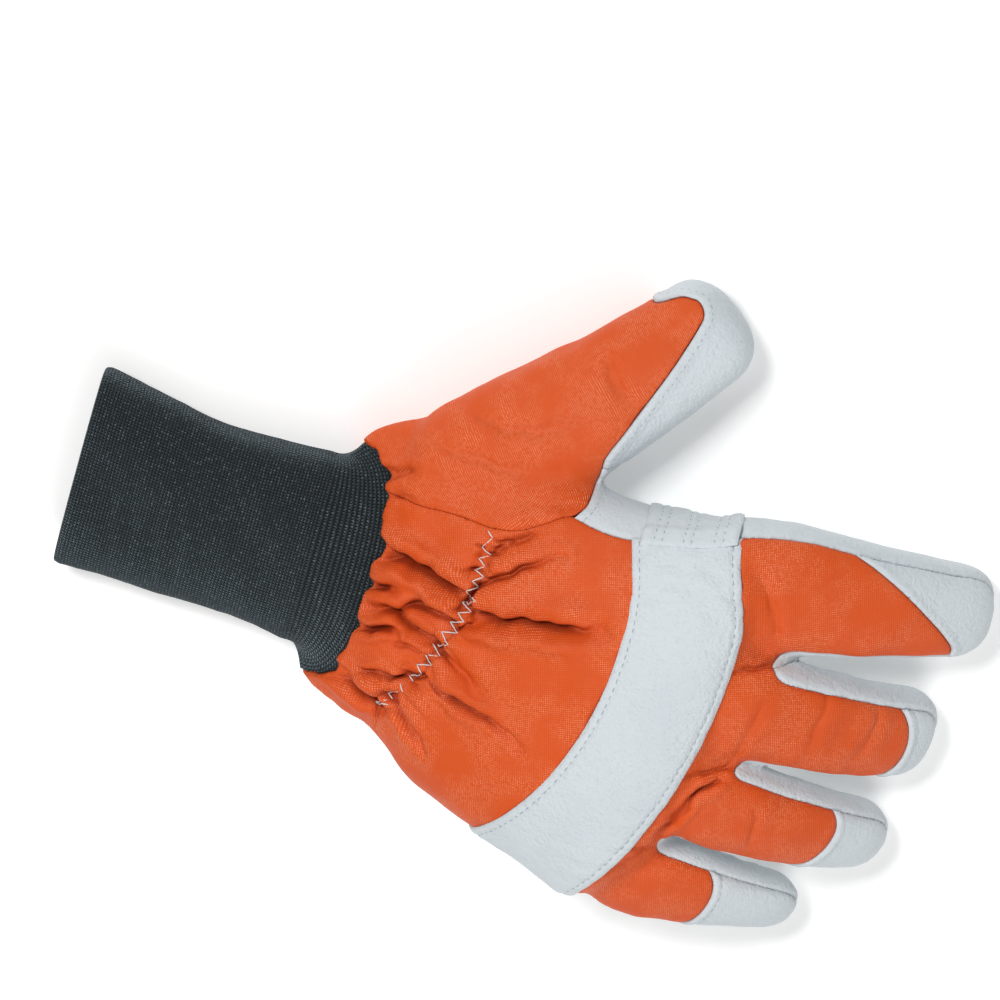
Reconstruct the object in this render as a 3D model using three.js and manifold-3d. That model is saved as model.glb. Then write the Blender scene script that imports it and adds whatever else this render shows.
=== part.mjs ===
// Work glove for a right hand, lying palm down: cloth back, leather palm and fingertips, knitted cuff.
// Lengths are millimetres. X runs from the cuff to the fingertips, Y towards the thumb and Z up.
// A share called along is of handLength, across of half handWidth, and a height is of knuckleHeight.

import * as THREE from "three";
import { mergeVertices } from "three/addons/utils/BufferGeometryUtils.js";
import Module from "manifold-3d";

const wasm = await Module();
wasm.setup();

// Driving dimensions
const wall = 2.2; // cloth or leather with its lining
const gap = 0.3; // clearance between neighbouring pieces
const trimThickness = 1.3; // strap and grip patch, which lie on the panels
const handLength = 138; // wrist seam to finger roots
const handWidth = 140; // across the knuckles
const knuckleHeight = 60; // top of the arched knuckles
const cuffLength = 92; // mouth to wrist seam
const cuffWidth = 68;
const cuffHeight = 26;
const cuffWall = 2.6; // double knit
const cuffTuck = 6; // hidden inside the wrist
const wristArch = 16; // how far the wrist seam on the back lies ahead of its sides
const wristBack = 5; // how far the sides of the wrist seam lie back from the palm's length
const mouthSlant = 3; // how far the thumb side of the cuff's mouth lies ahead of its middle
const settle = 1.5; // how far the soft underside is pressed flat on the ground
const foldDepth = 2.8; // deepest gather
const foldSpread = 4; // half width of a gather
const tipRounding = 13; // length over which a fingertip rounds off
const indexLength = 112;
const middleLength = 108;
const ringLength = 103;
const littleLength = 83;
const thumbLength = 131;
const indexWidth = 44.6;
const middleWidth = 37.8;
const ringWidth = 34;
const littleWidth = 33;
const thumbWidth = 48;
const fingerDepth = 29;
const fingertipDepth = 19;
const ringDepth = 27;
const ringtipDepth = 18;
const littleDepth = 25;
const littletipDepth = 16.2;
const thumbDepth = 40;
const thumbtipDepth = 24;
const strapNearRadius = 132; // edge of the strap towards the wrist
const strapFarRadius = 190; // edge of the strap towards the fingers
const gripPatchWidth = 29.5; // along the hand
const knuckleSweep = 18; // how far the root of the little finger lies behind that of the index

// Finish of each sort of cloth
const knit = { color: 0x2b3133, roughness: 0.95, metalness: 0 };
const cloth = { color: 0xdf5b26, roughness: 0.85, metalness: 0 };
const leather = { color: 0xd8dde0, roughness: 0.7, metalness: 0 };

// Sections of the hand, from the wrist seam to the finger roots
const handSections = [
  { along: 0.0, middle: 0.039, half: 0.618, widest: 0.25, top: 0.5, bottom: 0.0, seam: 0.62 },
  { along: 0.08, middle: 0.071, half: 0.714, widest: 0.267, top: 0.583, bottom: 0.0, seam: 0.62 },
  { along: 0.17, middle: 0.076, half: 0.781, widest: 0.3, top: 0.6, bottom: 0.0, seam: 0.62 },
  { along: 0.27, middle: -0.006, half: 0.863, widest: 0.333, top: 0.7, bottom: 0.0, seam: 0.62 },
  { along: 0.45, middle: -0.093, half: 0.907, widest: 0.4, top: 0.833, bottom: 0.008, seam: 0.62 },
  { along: 0.63, middle: -0.15, half: 0.921, widest: 0.483, top: 0.925, bottom: 0.083, seam: 0.6 },
  { along: 0.78, middle: -0.157, half: 0.971, widest: 0.567, top: 0.983, bottom: 0.2, seam: 0.48 },
  { along: 0.88, middle: -0.15, half: 0.986, widest: 0.633, top: 1.0, bottom: 0.317, seam: 0.45 },
  { along: 0.95, middle: -0.114, half: 0.914, widest: 0.667, top: 0.95, bottom: 0.417, seam: 0.45 },
  { along: 1.0, middle: -0.114, half: 0.714, widest: 0.667, top: 0.8, bottom: 0.533, seam: 0.45 },
];
const tuckEnd = cuffTuck / handLength;
const handStations = [0, tuckEnd, 0.1, 0.16, 0.22, 0.29, 0.38, 0.5, 0.63, 0.78, 0.88, 0.95, 1];
const backZoneStations = [0, 0.27, 0.54, 0.78, 0.95, 1];

// Sections of the cuff, from the mouth to the wrist seam: at is a share of cuffLength, half of half
// cuffWidth, middle of half handWidth and top of cuffHeight
const cuffSections = [
  { at: 0.0, middle: 0.115, half: 1.0, top: 0.86 },
  { at: 0.02, middle: 0.114, half: 1.03, top: 0.92 },
  { at: 0.25, middle: 0.085, half: 0.965, top: 0.92 },
  { at: 0.5, middle: 0.056, half: 0.92, top: 0.94 },
  { at: 0.72, middle: 0.052, half: 0.935, top: 0.98 },
  { at: 0.85, middle: 0.05, half: 0.98, top: 1.0 },
];

// Gathers of the back: from and to are the ends of a valley, and depth is a share of foldDepth
const gathers = [
  { fromAlong: 0.065, fromAcross: 0.207, toAlong: 0.304, toAcross: 0.164, depth: 1.0 },
  { fromAlong: 0.319, fromAcross: 0.21, toAlong: 0.467, toAcross: 0.44, depth: 0.6 },
  { fromAlong: 0.34, fromAcross: 0.44, toAlong: 0.43, toAcross: 0.56, depth: 0.4 },
  { fromAlong: 0.31, fromAcross: 0.105, toAlong: 0.67, toAcross: 0.237, depth: 0.35 },
  { fromAlong: 0.1, fromAcross: -0.05, toAlong: 0.275, toAcross: -0.16, depth: 0.8 },
  { fromAlong: 0.08, fromAcross: 0.035, toAlong: 0.16, toAcross: 0.04, depth: 0.5 },
  { fromAlong: 0.076, fromAcross: -0.185, toAlong: 0.145, toAcross: -0.125, depth: 0.5 },
  { fromAlong: 0.28, fromAcross: -0.17, toAlong: 0.39, toAcross: -0.27, depth: 0.6 },
  { fromAlong: 0.257, fromAcross: -0.3, toAlong: 0.55, toAcross: -0.49, depth: 0.8 },
  { fromAlong: 0.19, fromAcross: -0.47, toAlong: 0.355, toAcross: -0.73, depth: 0.7 },
  { fromAlong: 0.145, fromAcross: -0.37, toAlong: 0.257, toAcross: -0.3, depth: 0.6 },
  { fromAlong: 0.036, fromAcross: -0.41, toAlong: 0.19, toAcross: -0.52, depth: 0.9 },
];

// Root of every digit, as shares of its full width and depth, before its own taper
const digitSwell = [
  { at: 0.0, width: 0.45, depth: 0.55 },
  { at: 0.15, width: 0.88, depth: 0.93 },
  { at: 0.32, width: 1.0, depth: 1.0 },
];
const taperEnd = 0.9; // share of the length where a digit reaches its taper
const digitStations = [0, 0.16, 0.32, 0.55, 0.75];
const tipStations = [1, 0.5, 0.2, 0.04]; // distances from the tip, as shares of tipRounding

// Digits: root, length and width, then turn, dip and roll in degrees. seam is the height of the back's
// seam as a share of the half depth, and cap the start of the fingertip cap on the two sides.
const digits = {
  index: {
    root: { along: 0.754, across: 0.586, height: 0.65 },
    length: indexLength,
    width: indexWidth,
    depth: [fingerDepth, fingertipDepth],
    turn: [2, 2],
    dip: [0, -33],
    roll: -3,
    taper: 0.7,
    seam: { thumbSide: 0.45, littleSide: 0.45 },
    cap: { thumbSide: 0.5, littleSide: 0.93 },
  },
  middle: {
    root: { along: 0.754, across: 0.057, height: 0.75 },
    length: middleLength,
    width: middleWidth,
    depth: [fingerDepth, fingertipDepth],
    turn: [-4, -4],
    dip: [0, -44],
    roll: 5,
    taper: 0.84,
    seam: { thumbSide: 0.45, littleSide: 0.45 },
    cap: { thumbSide: 0.885, littleSide: 0.885 },
  },
  ring: {
    root: { along: 0.754, across: -0.419, height: 0.717 },
    length: ringLength,
    width: ringWidth,
    depth: [ringDepth, ringtipDepth],
    turn: [-8.2, -8.2],
    dip: [0, -44],
    roll: 8,
    taper: 0.74,
    seam: { thumbSide: 0.45, littleSide: 0.45 },
    cap: { thumbSide: 0.785, littleSide: 0.785 },
  },
  little: {
    root: { along: 0.717, across: -0.931, height: 0.583 },
    length: littleLength,
    width: littleWidth,
    depth: [littleDepth, littletipDepth],
    turn: [-5.4, -5.4],
    dip: [0, -39],
    roll: 15,
    taper: 0.58,
    seam: { thumbSide: 0.45, littleSide: 0 },
    cap: { thumbSide: 0.577, littleSide: 0.577 },
  },
  thumb: {
    root: { along: 0.087, across: 0.4, height: 0.283 },
    length: thumbLength,
    width: thumbWidth,
    depth: [thumbDepth, thumbtipDepth],
    turn: [35, 57.5],
    dip: [4, -8],
    roll: 0,
    taper: 0.74,
  },
};
const fingerNames = ["index", "middle", "ring", "little"];

// Outlines of the panels seen from above
const thumbBackTop = [
  { along: -0.116, across: 0.471 },
  { along: 0.065, across: 0.471 },
  { along: 0.225, across: 0.509 },
  { along: 0.333, across: 0.523 },
  { along: 0.428, across: 0.6 },
  { along: 0.519, across: 0.7 },
  { along: 0.534, across: 0.864 },
  { along: 0.532, across: 0.957 },
  { along: 0.575, across: 1.176 },
  { along: 0.63, across: 1.477 },
  { along: 0.649, across: 1.614 },
  { along: 0.656, across: 1.729 },
  { along: 0.635, across: 1.791 },
  { along: 0.586, across: 1.8 },
  { along: 0.464, across: 2.0 },
  { along: -0.188, across: 2.0 },
];
const thumbBackUnderside = [
  { along: -0.188, across: 0.314 },
  { along: 0.0, across: 0.343 },
  { along: 0.174, across: 0.543 },
  { along: 0.406, across: 0.923 },
  { along: 0.512, across: 1.319 },
  { along: 0.601, across: 1.643 },
  { along: 0.609, across: 1.829 },
  { along: 0.464, across: 2.071 },
  { along: -0.188, across: 2.071 },
];
const thumbSplitHeight = 0.283; // height where the upper outline gives way to the lower
const thumbFrontOutline = [
  { along: 0.478, across: 0.857 },
  { along: 0.609, across: 0.929 },
  { along: 0.971, across: 1.086 },
  { along: 0.971, across: 2.143 },
  { along: 0.246, across: 2.143 },
  { along: 0.246, across: 1.2 },
];
const middleRingOutline = [
  { along: 0.884, across: 0.293 },
  { along: 1.696, across: 0.293 },
  { along: 1.696, across: -0.943 },
  { along: 0.884, across: -0.714 },
];
const strapNear = { along: 0.688, across: 0.21 }; // point of each edge nearest the fingertips
const strapFar = { along: 0.958, across: 0.323 };
const gripPatchStart = 0.667; // edge towards the wrist, along the hand
const gripPatchEnd = -0.4; // end on the palm, across the hand
const backReach = 0.97; // share of the half width that the back reaches on the thumb side
const backEnd = 0.957; // along the hand, where the finger backs take over
const gatherStart = 0.06; // length over which the gathers begin, along the hand
const sweepFrom = 0.29; // across the hand, where the knuckles begin to fall back
const littleSideSeam = -0.1; // height of the back's seam below the widest line
const archEnd = 0.3; // along the hand, where the bow of the wrist seam has faded out
const settleEnd = 0.6; // along the hand, where the underside lifts off the ground
const sweepStart = 0.5; // along the hand, where the knuckles begin to fall back
const fingerRoot = { thumbSide: 0.12, littleSide: 0.12 }; // along a finger, where its own back begins
const backMargin = 0.8; // how far the space over a finger's back reaches past its sides
const capMargin = 1.5;
const past = 10; // how far a cutting space runs on past what it cuts

const sectionPower = 2.5; // between an ellipse and a rectangle
const handPoints = [28, 10]; // above and below the widest line
const digitPoints = [7, 6];
const cuffPoints = [14, 10];
const arcSegments = 44;
const sectionSamples = 240;

const wristX = -handLength * 0.029;
const alongToX = (share) => wristX + share * handLength;
const acrossToY = (share) => (share * handWidth) / 2;
const heightToZ = (share) => share * knuckleHeight;

// Value of one column of a table at a share, on a smooth curve through its rows
function columnAt(rows, key, column, share) {
  const last = rows.length - 1;
  let i = 0;
  while (i < last - 1 && rows[i + 1][key] < share) i += 1;
  const before = rows[Math.max(i - 1, 0)];
  const start = rows[i];
  const end = rows[i + 1];
  const after = rows[Math.min(i + 2, last)];
  const span = end[key] - start[key];
  const t = THREE.MathUtils.clamp((share - start[key]) / span, 0, 1);
  const startSlope = ((end[column] - before[column]) / (end[key] - before[key])) * span;
  const endSlope = ((after[column] - start[column]) / (after[key] - start[key])) * span;
  const t2 = t * t;
  const t3 = t2 * t;
  return (
    (2 * t3 - 3 * t2 + 1) * start[column] +
    (t3 - 2 * t2 + t) * startSlope +
    (3 * t2 - 2 * t3) * end[column] +
    (t3 - t2) * endSlope
  );
}

// Point of a rounded section of unit half width and half height
function unitSection(angle) {
  const c = Math.cos(angle);
  const s = Math.sin(angle);
  return [
    Math.sign(c) * Math.abs(c) ** (2 / sectionPower),
    Math.sign(s) * Math.abs(s) ** (2 / sectionPower),
  ];
}

// Evenly spaced points along half a section, from one angle to the other
function halfSection(half, rise, from, to, count) {
  const samples = [];
  let length = 0;
  for (let i = 0; i <= sectionSamples; i += 1) {
    const [y, z] = unitSection(THREE.MathUtils.lerp(from, to, i / sectionSamples));
    const point = { y: y * half, z: z * rise, length: 0 };
    if (i > 0) length += Math.hypot(point.y - samples[i - 1].y, point.z - samples[i - 1].z);
    point.length = length;
    samples.push(point);
  }
  const points = [];
  let i = 0;
  for (let k = 0; k < count; k += 1) {
    const wanted = (length * k) / count;
    while (samples[i + 1].length < wanted) i += 1;
    const t = (wanted - samples[i].length) / (samples[i + 1].length - samples[i].length);
    points.push({
      y: THREE.MathUtils.lerp(samples[i].y, samples[i + 1].y, t),
      z: THREE.MathUtils.lerp(samples[i].z, samples[i + 1].z, t),
    });
  }
  return points;
}

// Closed section in Y and Z with its own height above and below its widest line
function section(middle, half, widest, top, bottom, counts) {
  const upper = halfSection(half, top - widest, 0, Math.PI, counts[0]);
  const lower = halfSection(half, widest - bottom, Math.PI, 2 * Math.PI, counts[1]);
  return [...upper, ...lower].map(({ y, z }) => ({ y: middle + y, z: widest + z }));
}

// Closed solid through rings of points that run from +Y towards +Z and follow each other along +X
function loft(rings) {
  const count = rings[0].length;
  const positions = rings.flat().flatMap((p) => [p.x, p.y, p.z]);
  const centres = [rings[0], rings.at(-1)].map((ring) => {
    const centre = new THREE.Vector3();
    ring.forEach((p) => centre.add(p));
    return centre.divideScalar(count);
  });
  centres.forEach((c) => positions.push(c.x, c.y, c.z));
  const startCentre = rings.length * count;
  const endCentre = startCentre + 1;
  const lastRing = (rings.length - 1) * count;
  const faces = [];
  for (let k = 0; k < count; k += 1) {
    const next = (k + 1) % count;
    for (let i = 0; i < rings.length - 1; i += 1) {
      const near = i * count;
      const far = near + count;
      faces.push(near + k, near + next, far + k);
      faces.push(near + next, far + next, far + k);
    }
    faces.push(startCentre, next, k);
    faces.push(endCentre, lastRing + k, lastRing + next);
  }
  const geometry = new THREE.BufferGeometry();
  geometry.setAttribute("position", new THREE.Float32BufferAttribute(positions, 3));
  geometry.setIndex(faces);
  return solidOf(geometry);
}

// Solid of a closed geometry
function solidOf(geometry) {
  geometry.deleteAttribute("normal");
  geometry.deleteAttribute("uv");
  const merged = mergeVertices(geometry, 1e-4);
  return new wasm.Manifold(
    new wasm.Mesh({
      numProp: 3,
      vertProperties: merged.attributes.position.array,
      triVerts: new Uint32Array(merged.index.array),
    }),
  );
}

// Upright prism on an outline in X and Y
function prism(outline, bottom, top) {
  const shape = new THREE.Shape(outline);
  const depth = top - bottom;
  const geometry = new THREE.ExtrudeGeometry(shape, { depth, bevelEnabled: false });
  return solidOf(geometry.translate(0, 0, bottom));
}

// Upright disc whose edge passes through a point at its foremost place
function disc(apex, radius, grow) {
  const shape = new THREE.Shape();
  const reach = radius + grow;
  shape.absarc(alongToX(apex.along) - radius, acrossToY(apex.across), reach, 0, 2 * Math.PI);
  const options = { depth: 3 * knuckleHeight, bevelEnabled: false, curveSegments: arcSegments };
  return solidOf(new THREE.ExtrudeGeometry(shape, options).translate(0, 0, -knuckleHeight));
}

// Outline in X and Y from a table of shares, moved outwards by grow
function outlineOf(rows, grow) {
  const points = rows.map((row) => new THREE.Vector2(alongToX(row.along), acrossToY(row.across)));
  const outwards = THREE.ShapeUtils.area(points) > 0 ? 1 : -1;
  const count = points.length;
  return points.map((point, i) => {
    const before = points[(i + count - 1) % count];
    const after = points[(i + 1) % count];
    const into = point.clone().sub(before).normalize();
    const outOf = after.clone().sub(point).normalize();
    const normal = new THREE.Vector2(into.y + outOf.y, -into.x - outOf.x).normalize();
    const stretch = 1 / Math.max(Math.abs(normal.x * into.y - normal.y * into.x), 0.5);
    return point.clone().addScaledVector(normal, grow * outwards * stretch);
  });
}

const add = (solids) => solids.reduce((sum, solid) => sum.add(solid));
const mainBody = (solid) => solid.decompose().sort((a, b) => b.volume() - a.volume())[0];
const smooth = (share) => THREE.MathUtils.smoothstep(share, 0, 1);

// How far the cloth of the back dips at a place, from the valleys near it
function gatherDip(x, y) {
  const place = new THREE.Vector2(x, y);
  const dips = gathers.map((row) => {
    const from = new THREE.Vector2(alongToX(row.fromAlong), acrossToY(row.fromAcross));
    const to = new THREE.Vector2(alongToX(row.toAlong), acrossToY(row.toAcross));
    const line = to.clone().sub(from);
    const t = THREE.MathUtils.clamp(place.clone().sub(from).dot(line) / line.lengthSq(), 0, 1);
    const away = place.distanceTo(from.addScaledVector(line, t));
    return row.depth * Math.exp(-((away / foldSpread) ** 2));
  });
  return foldDepth * Math.min(Math.max(...dips), 1);
}

// Sizes of the hand's section at a share of its length
function handSectionAt(along) {
  const at = (column) => columnAt(handSections, "along", column, along);
  return {
    middle: acrossToY(at("middle")),
    half: acrossToY(at("half")),
    widest: heightToZ(at("widest")),
    top: heightToZ(at("top")),
    bottom: heightToZ(at("bottom")) - settle * (1 - smooth(along / settleEnd)),
    seam: at("seam"),
  };
}

// How far a place of a wrist section lies ahead of its station, where rise is 1 on top and 0 at the sides
const leadAt = (along, rise) => (wristArch * rise - wristBack) * (1 - smooth(along / archEnd));

// How far a place across the knuckles lies behind the root of the index
function sweepAt(along, y) {
  const across = Math.max(acrossToY(sweepFrom) - y, 0) / acrossToY(1 + sweepFrom);
  return knuckleSweep * across ** 2 * smooth((along - sweepStart) / (1 - sweepStart));
}

// Ring of the hand at a share of its length, inset from the outer face
function handRing(along, inset) {
  const size = handSectionAt(along);
  const floor = Math.max(inset, 0);
  const top = size.top - inset;
  const bottom = size.bottom + inset;
  const points = section(size.middle, size.half - inset, size.widest, top, bottom, handPoints);
  const fade = smooth((along - tuckEnd) / gatherStart);
  return points.map(({ y, z }) => {
    const rise = Math.max((z - size.widest) / (top - size.widest), 0);
    const x = alongToX(along) + leadAt(along, rise) - sweepAt(along, y);
    return new THREE.Vector3(x, y, Math.max(z - gatherDip(x, y) * fade * smooth(rise / 0.6), floor));
  });
}

// Solid of the hand without its digits. An inner one runs on past the wrist, which leaves it open.
function hand(inset) {
  const rings = handStations.map((along) => handRing(along, inset));
  const last = rings.at(-1);
  if (inset > 0) last.forEach((p) => p.setX(p.x - inset));
  if (inset > 0) rings.unshift(rings[0].map((p) => p.clone().setX(p.x - past)));
  return loft(rings);
}

// Frame on the line through a digit: centre, direction, side towards the thumb and up
function digitFrame(digit, share) {
  const steps = 40;
  const { root, length, turn, dip, roll } = digit;
  const centre = new THREE.Vector3(alongToX(root.along), acrossToY(root.across), heightToZ(root.height));
  const radians = THREE.MathUtils.degToRad;
  const direction = (at) => {
    const t = THREE.MathUtils.clamp(at, 0, 1);
    const yaw = radians(THREE.MathUtils.lerp(turn[0], turn[1], t));
    const pitch = radians(THREE.MathUtils.lerp(dip[0], dip[1], t));
    const level = Math.cos(pitch);
    return new THREE.Vector3(Math.cos(yaw) * level, Math.sin(yaw) * level, Math.sin(pitch));
  };
  for (let i = 0; i < steps; i += 1) {
    centre.addScaledVector(direction(((i + 0.5) / steps) * share), (length * share) / steps);
  }
  const forward = direction(share);
  const side = new THREE.Vector3(-forward.y, forward.x, 0).normalize();
  side.applyAxisAngle(forward, radians(roll));
  const up = forward.clone().cross(side);
  return { centre, side, up };
}

// Half width and half depth of a digit at a share of its length, before its tip rounds off
function digitSize(digit, share) {
  const swellEnd = digitSwell.at(-1);
  const taper = THREE.MathUtils.mapLinear(share, swellEnd.at, taperEnd, swellEnd.width, digit.taper);
  const swell = columnAt(digitSwell, "at", "width", share);
  const width = share > swellEnd.at ? taper : swell;
  const depth = THREE.MathUtils.lerp(digit.depth[0], digit.depth[1], Math.min(share, 1));
  const root = columnAt(digitSwell, "at", "depth", share);
  return { half: (width * digit.width) / 2, deep: (depth * root) / 2 };
}

// Solid of one digit, inset from its outer face
function limb(digit, inset) {
  const length = digit.length - inset;
  const tips = tipStations.map((share) => 1 - (share * tipRounding) / length);
  const rings = [...digitStations, ...tips].map((station) => {
    const share = (station * length) / digit.length;
    const { centre, side, up } = digitFrame(digit, share);
    const { half, deep } = digitSize(digit, share);
    const left = Math.min(((1 - station) * length) / tipRounding, 1);
    const round = (1 - (1 - left) ** sectionPower) ** (1 / sectionPower);
    const rise = (deep - inset) * round;
    const points = section(0, (half - inset) * round, 0, rise, -rise, digitPoints);
    return points.map(({ y, z }) => {
      const point = centre.clone().addScaledVector(side, y).addScaledVector(up, z);
      return point.setZ(Math.max(point.z, inset, 0));
    });
  });
  return loft(rings);
}

// Whole glove without its cuff, inset from the outer face
function form(inset) {
  return add([hand(inset), ...Object.values(digits).map((digit) => limb(digit, inset))]);
}

// Space over the back of the hand, above its side seams
function handBackZone(grow) {
  const rings = backZoneStations.map((along) => {
    const size = handSectionAt(along);
    const rise = size.top - size.widest;
    const x = alongToX(along * backEnd);
    const right = size.middle + size.half * backReach + grow;
    const left = size.middle - size.half - past;
    const ceiling = 2 * knuckleHeight;
    return [
      new THREE.Vector3(x, right, size.widest + rise * size.seam - grow),
      new THREE.Vector3(x, right, ceiling),
      new THREE.Vector3(x, left, ceiling),
      new THREE.Vector3(x, left, size.widest + rise * littleSideSeam - grow),
    ];
  });
  rings[0].forEach((p) => p.setX(p.x - past));
  rings.at(-1).forEach((p) => p.setX(p.x + grow));
  return loft(rings);
}

// Space over the back of one finger, from a share of its length on its two sides to past its tip
function fingerZone(digit, from, margin, grow) {
  const steps = 5;
  const slant = Math.hypot(1, ((from.littleSide - from.thumbSide) * digit.length) / digit.width);
  const back = (grow * slant) / digit.length;
  const rings = [];
  for (let i = 0; i <= steps; i += 1) {
    const corner = (start, sideways, height) => {
      const share = THREE.MathUtils.lerp(start - back, 1.1, i / steps);
      const { centre, side, up } = digitFrame(digit, share);
      const { half, deep } = digitSize(digit, share);
      const out = sideways * (half + margin);
      return centre.addScaledVector(side, out).addScaledVector(up, height(deep));
    };
    const ceiling = () => fingerDepth;
    rings.push([
      corner(from.thumbSide, 1, (deep) => deep * digit.seam.thumbSide - grow),
      corner(from.thumbSide, 1, ceiling),
      corner(from.littleSide, -1, ceiling),
      corner(from.littleSide, -1, (deep) => deep * digit.seam.littleSide - grow),
    ]);
  }
  return loft(rings);
}

// Space over the whole back
function backZone(grow) {
  const fingers = fingerNames.map((name) => fingerZone(digits[name], fingerRoot, backMargin + grow, grow));
  return add([handBackZone(grow), ...fingers]);
}

// Space round the cloth back of the thumb
function thumbBackZone(grow) {
  const split = heightToZ(thumbSplitHeight);
  const over = prism(outlineOf(thumbBackTop, grow), split - grow, 2 * knuckleHeight);
  const under = prism(outlineOf(thumbBackUnderside, grow), -past, split);
  return over.add(under);
}

// Space round the reinforcement of the palm and its wrap up the thumb side
function gripPatchZone() {
  const near = alongToX(gripPatchStart);
  const far = near + gripPatchWidth;
  const end = acrossToY(gripPatchEnd);
  const side = acrossToY(1.1);
  const outline = [
    new THREE.Vector2(near, end),
    new THREE.Vector2(far, end),
    new THREE.Vector2(far, side),
    new THREE.Vector2(near, side),
  ];
  return prism(outline, -past, 2 * knuckleHeight);
}

// Solid of the knitted tube and the end tucked into the wrist. An inner one runs on past both ends.
function cuffSolid(inset) {
  const rings = cuffSections.map((row) => {
    const x = wristX - cuffLength * (1 - row.at);
    const half = (row.half * cuffWidth) / 2 - inset;
    const top = row.top * cuffHeight;
    const widest = (top - settle) / 2;
    const points = section(acrossToY(row.middle), half, widest, top - inset, inset - settle, cuffPoints);
    return points.map(({ y, z }) => {
      const across = (2 * (y - acrossToY(row.middle))) / cuffWidth;
      return new THREE.Vector3(x + mouthSlant * across * (1 - row.at), y, Math.max(z, inset));
    });
  });
  const tucked = [0, tuckEnd].map((along) => {
    const size = handSectionAt(along);
    const under = wall + gap + inset;
    const top = size.top - under;
    const bottom = size.bottom + under;
    const points = section(size.middle, size.half - under, size.widest, top, bottom, cuffPoints);
    return points.map(({ y, z }) => {
      const rise = Math.max((z - size.widest) / (top - size.widest), 0);
      const x = alongToX(along) + leadAt(along, rise);
      return new THREE.Vector3(x, y, Math.max(z, under));
    });
  });
  rings.push(...tucked);
  if (inset > 0) rings[0].forEach((p) => p.setX(p.x - past));
  if (inset > 0) rings.at(-1).forEach((p) => p.setX(p.x + past));
  return loft(rings);
}

const shell = form(0).subtract(form(wall));
const capZone = (name, grow) => fingerZone(digits[name], digits[name].cap, capMargin, grow);
const capClearance = add(fingerNames.map((name) => capZone(name, gap)));
const strapMiddle = {
  along: (strapNear.along + strapFar.along) / 2,
  across: (strapNear.across + strapFar.across) / 2,
};
const strapMiddleRadius = (strapNearRadius + strapFarRadius) / 2;

const thumbBack = shell.intersect(thumbBackZone(0));
const rest = shell.subtract(thumbBackZone(gap));
const back = rest.intersect(backZone(0));
const lower = rest.subtract(backZone(gap));
const plainBack = back.subtract(capClearance);
const thumbFrontZone = (grow) => prism(outlineOf(thumbFrontOutline, grow), -past, 2 * knuckleHeight);
const middleRingZone = (grow) => prism(outlineOf(middleRingOutline, grow), -past, 2 * knuckleHeight);
const trim = form(-gap - trimThickness).subtract(form(-gap));
const strapZone = disc(strapFar, strapFarRadius, 0).subtract(disc(strapNear, strapNearRadius, 0));

const pieces = [
  ["knit_cuff", knit, cuffSolid(0).subtract(cuffSolid(cuffWall))],
  ["hand_back", cloth, plainBack.intersect(disc(strapMiddle, strapMiddleRadius, 0))],
  ["finger_back", cloth, plainBack.subtract(disc(strapMiddle, strapMiddleRadius, gap))],
  ["knuckle_strap", leather, trim.intersect(backZone(0)).intersect(strapZone)],
  ...fingerNames.map((name) => [name + "_cap", leather, back.intersect(capZone(name, 0))]),
  ["palm_panel", leather, lower.subtract(thumbFrontZone(gap)).subtract(middleRingZone(gap))],
  ["middle_ring_front", leather, lower.intersect(middleRingZone(0))],
  ["thumb_back", cloth, thumbBack],
  ["thumb_front", leather, lower.intersect(thumbFrontZone(0)).subtract(middleRingZone(gap))],
  ["grip_patch", leather, trim.intersect(gripPatchZone()).subtract(backZone(gap))],
];

// Named mesh of one finished piece
function meshOf(name, finish, solid) {
  const { numProp, vertProperties, triVerts } = mainBody(solid).getMesh();
  const geometry = new THREE.BufferGeometry();
  geometry.setAttribute("position", new THREE.BufferAttribute(new Float32Array(vertProperties), numProp));
  geometry.setIndex(new THREE.BufferAttribute(new Uint32Array(triVerts), 1));
  geometry.computeVertexNormals();
  const mesh = new THREE.Mesh(geometry, new THREE.MeshStandardMaterial(finish));
  mesh.name = name;
  return mesh;
}

// The origin is on the ground under the middle of the glove
const glove = new THREE.Group();
pieces.forEach(([name, finish, solid]) => glove.add(meshOf(name, finish, solid)));
const bounds = new THREE.Box3().setFromObject(glove);
const middle = bounds.getCenter(new THREE.Vector3());
glove.position.set(-middle.x, -middle.y, -bounds.min.z);
const model = new THREE.Group();
model.add(glove);

export default model;
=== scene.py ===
"""Looks of a work glove for chainsaw work: a right-hand glove lying palm down, dressed over its CAD frame.

Lengths are millimetres in the frame that the glove was cut in: X along the hand, Y towards the thumb, Z
up from the ground. SHIFT leads from there to the row frame, and TILT and SPIN are the camera's lean and
turn. A place seen from above is given as (x, v), where v is how far it lies towards the thumb along the line
of sight of the camera. Meshes are made in metres in the row frame.
"""

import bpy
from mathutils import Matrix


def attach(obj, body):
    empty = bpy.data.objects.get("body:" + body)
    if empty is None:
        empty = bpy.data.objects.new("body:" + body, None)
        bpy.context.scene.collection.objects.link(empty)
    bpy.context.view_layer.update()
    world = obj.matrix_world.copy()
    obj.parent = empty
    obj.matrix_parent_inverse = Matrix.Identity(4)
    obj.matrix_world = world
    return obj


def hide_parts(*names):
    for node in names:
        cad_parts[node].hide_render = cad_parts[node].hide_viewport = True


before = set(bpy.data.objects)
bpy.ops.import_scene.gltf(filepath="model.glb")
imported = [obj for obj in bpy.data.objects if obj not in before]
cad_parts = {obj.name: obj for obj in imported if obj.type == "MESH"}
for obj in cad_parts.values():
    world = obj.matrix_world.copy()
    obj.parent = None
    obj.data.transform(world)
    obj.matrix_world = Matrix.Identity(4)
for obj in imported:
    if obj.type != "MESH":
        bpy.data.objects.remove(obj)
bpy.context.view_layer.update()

import logging
import math
from dataclasses import dataclass, field
from enum import Enum

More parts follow.
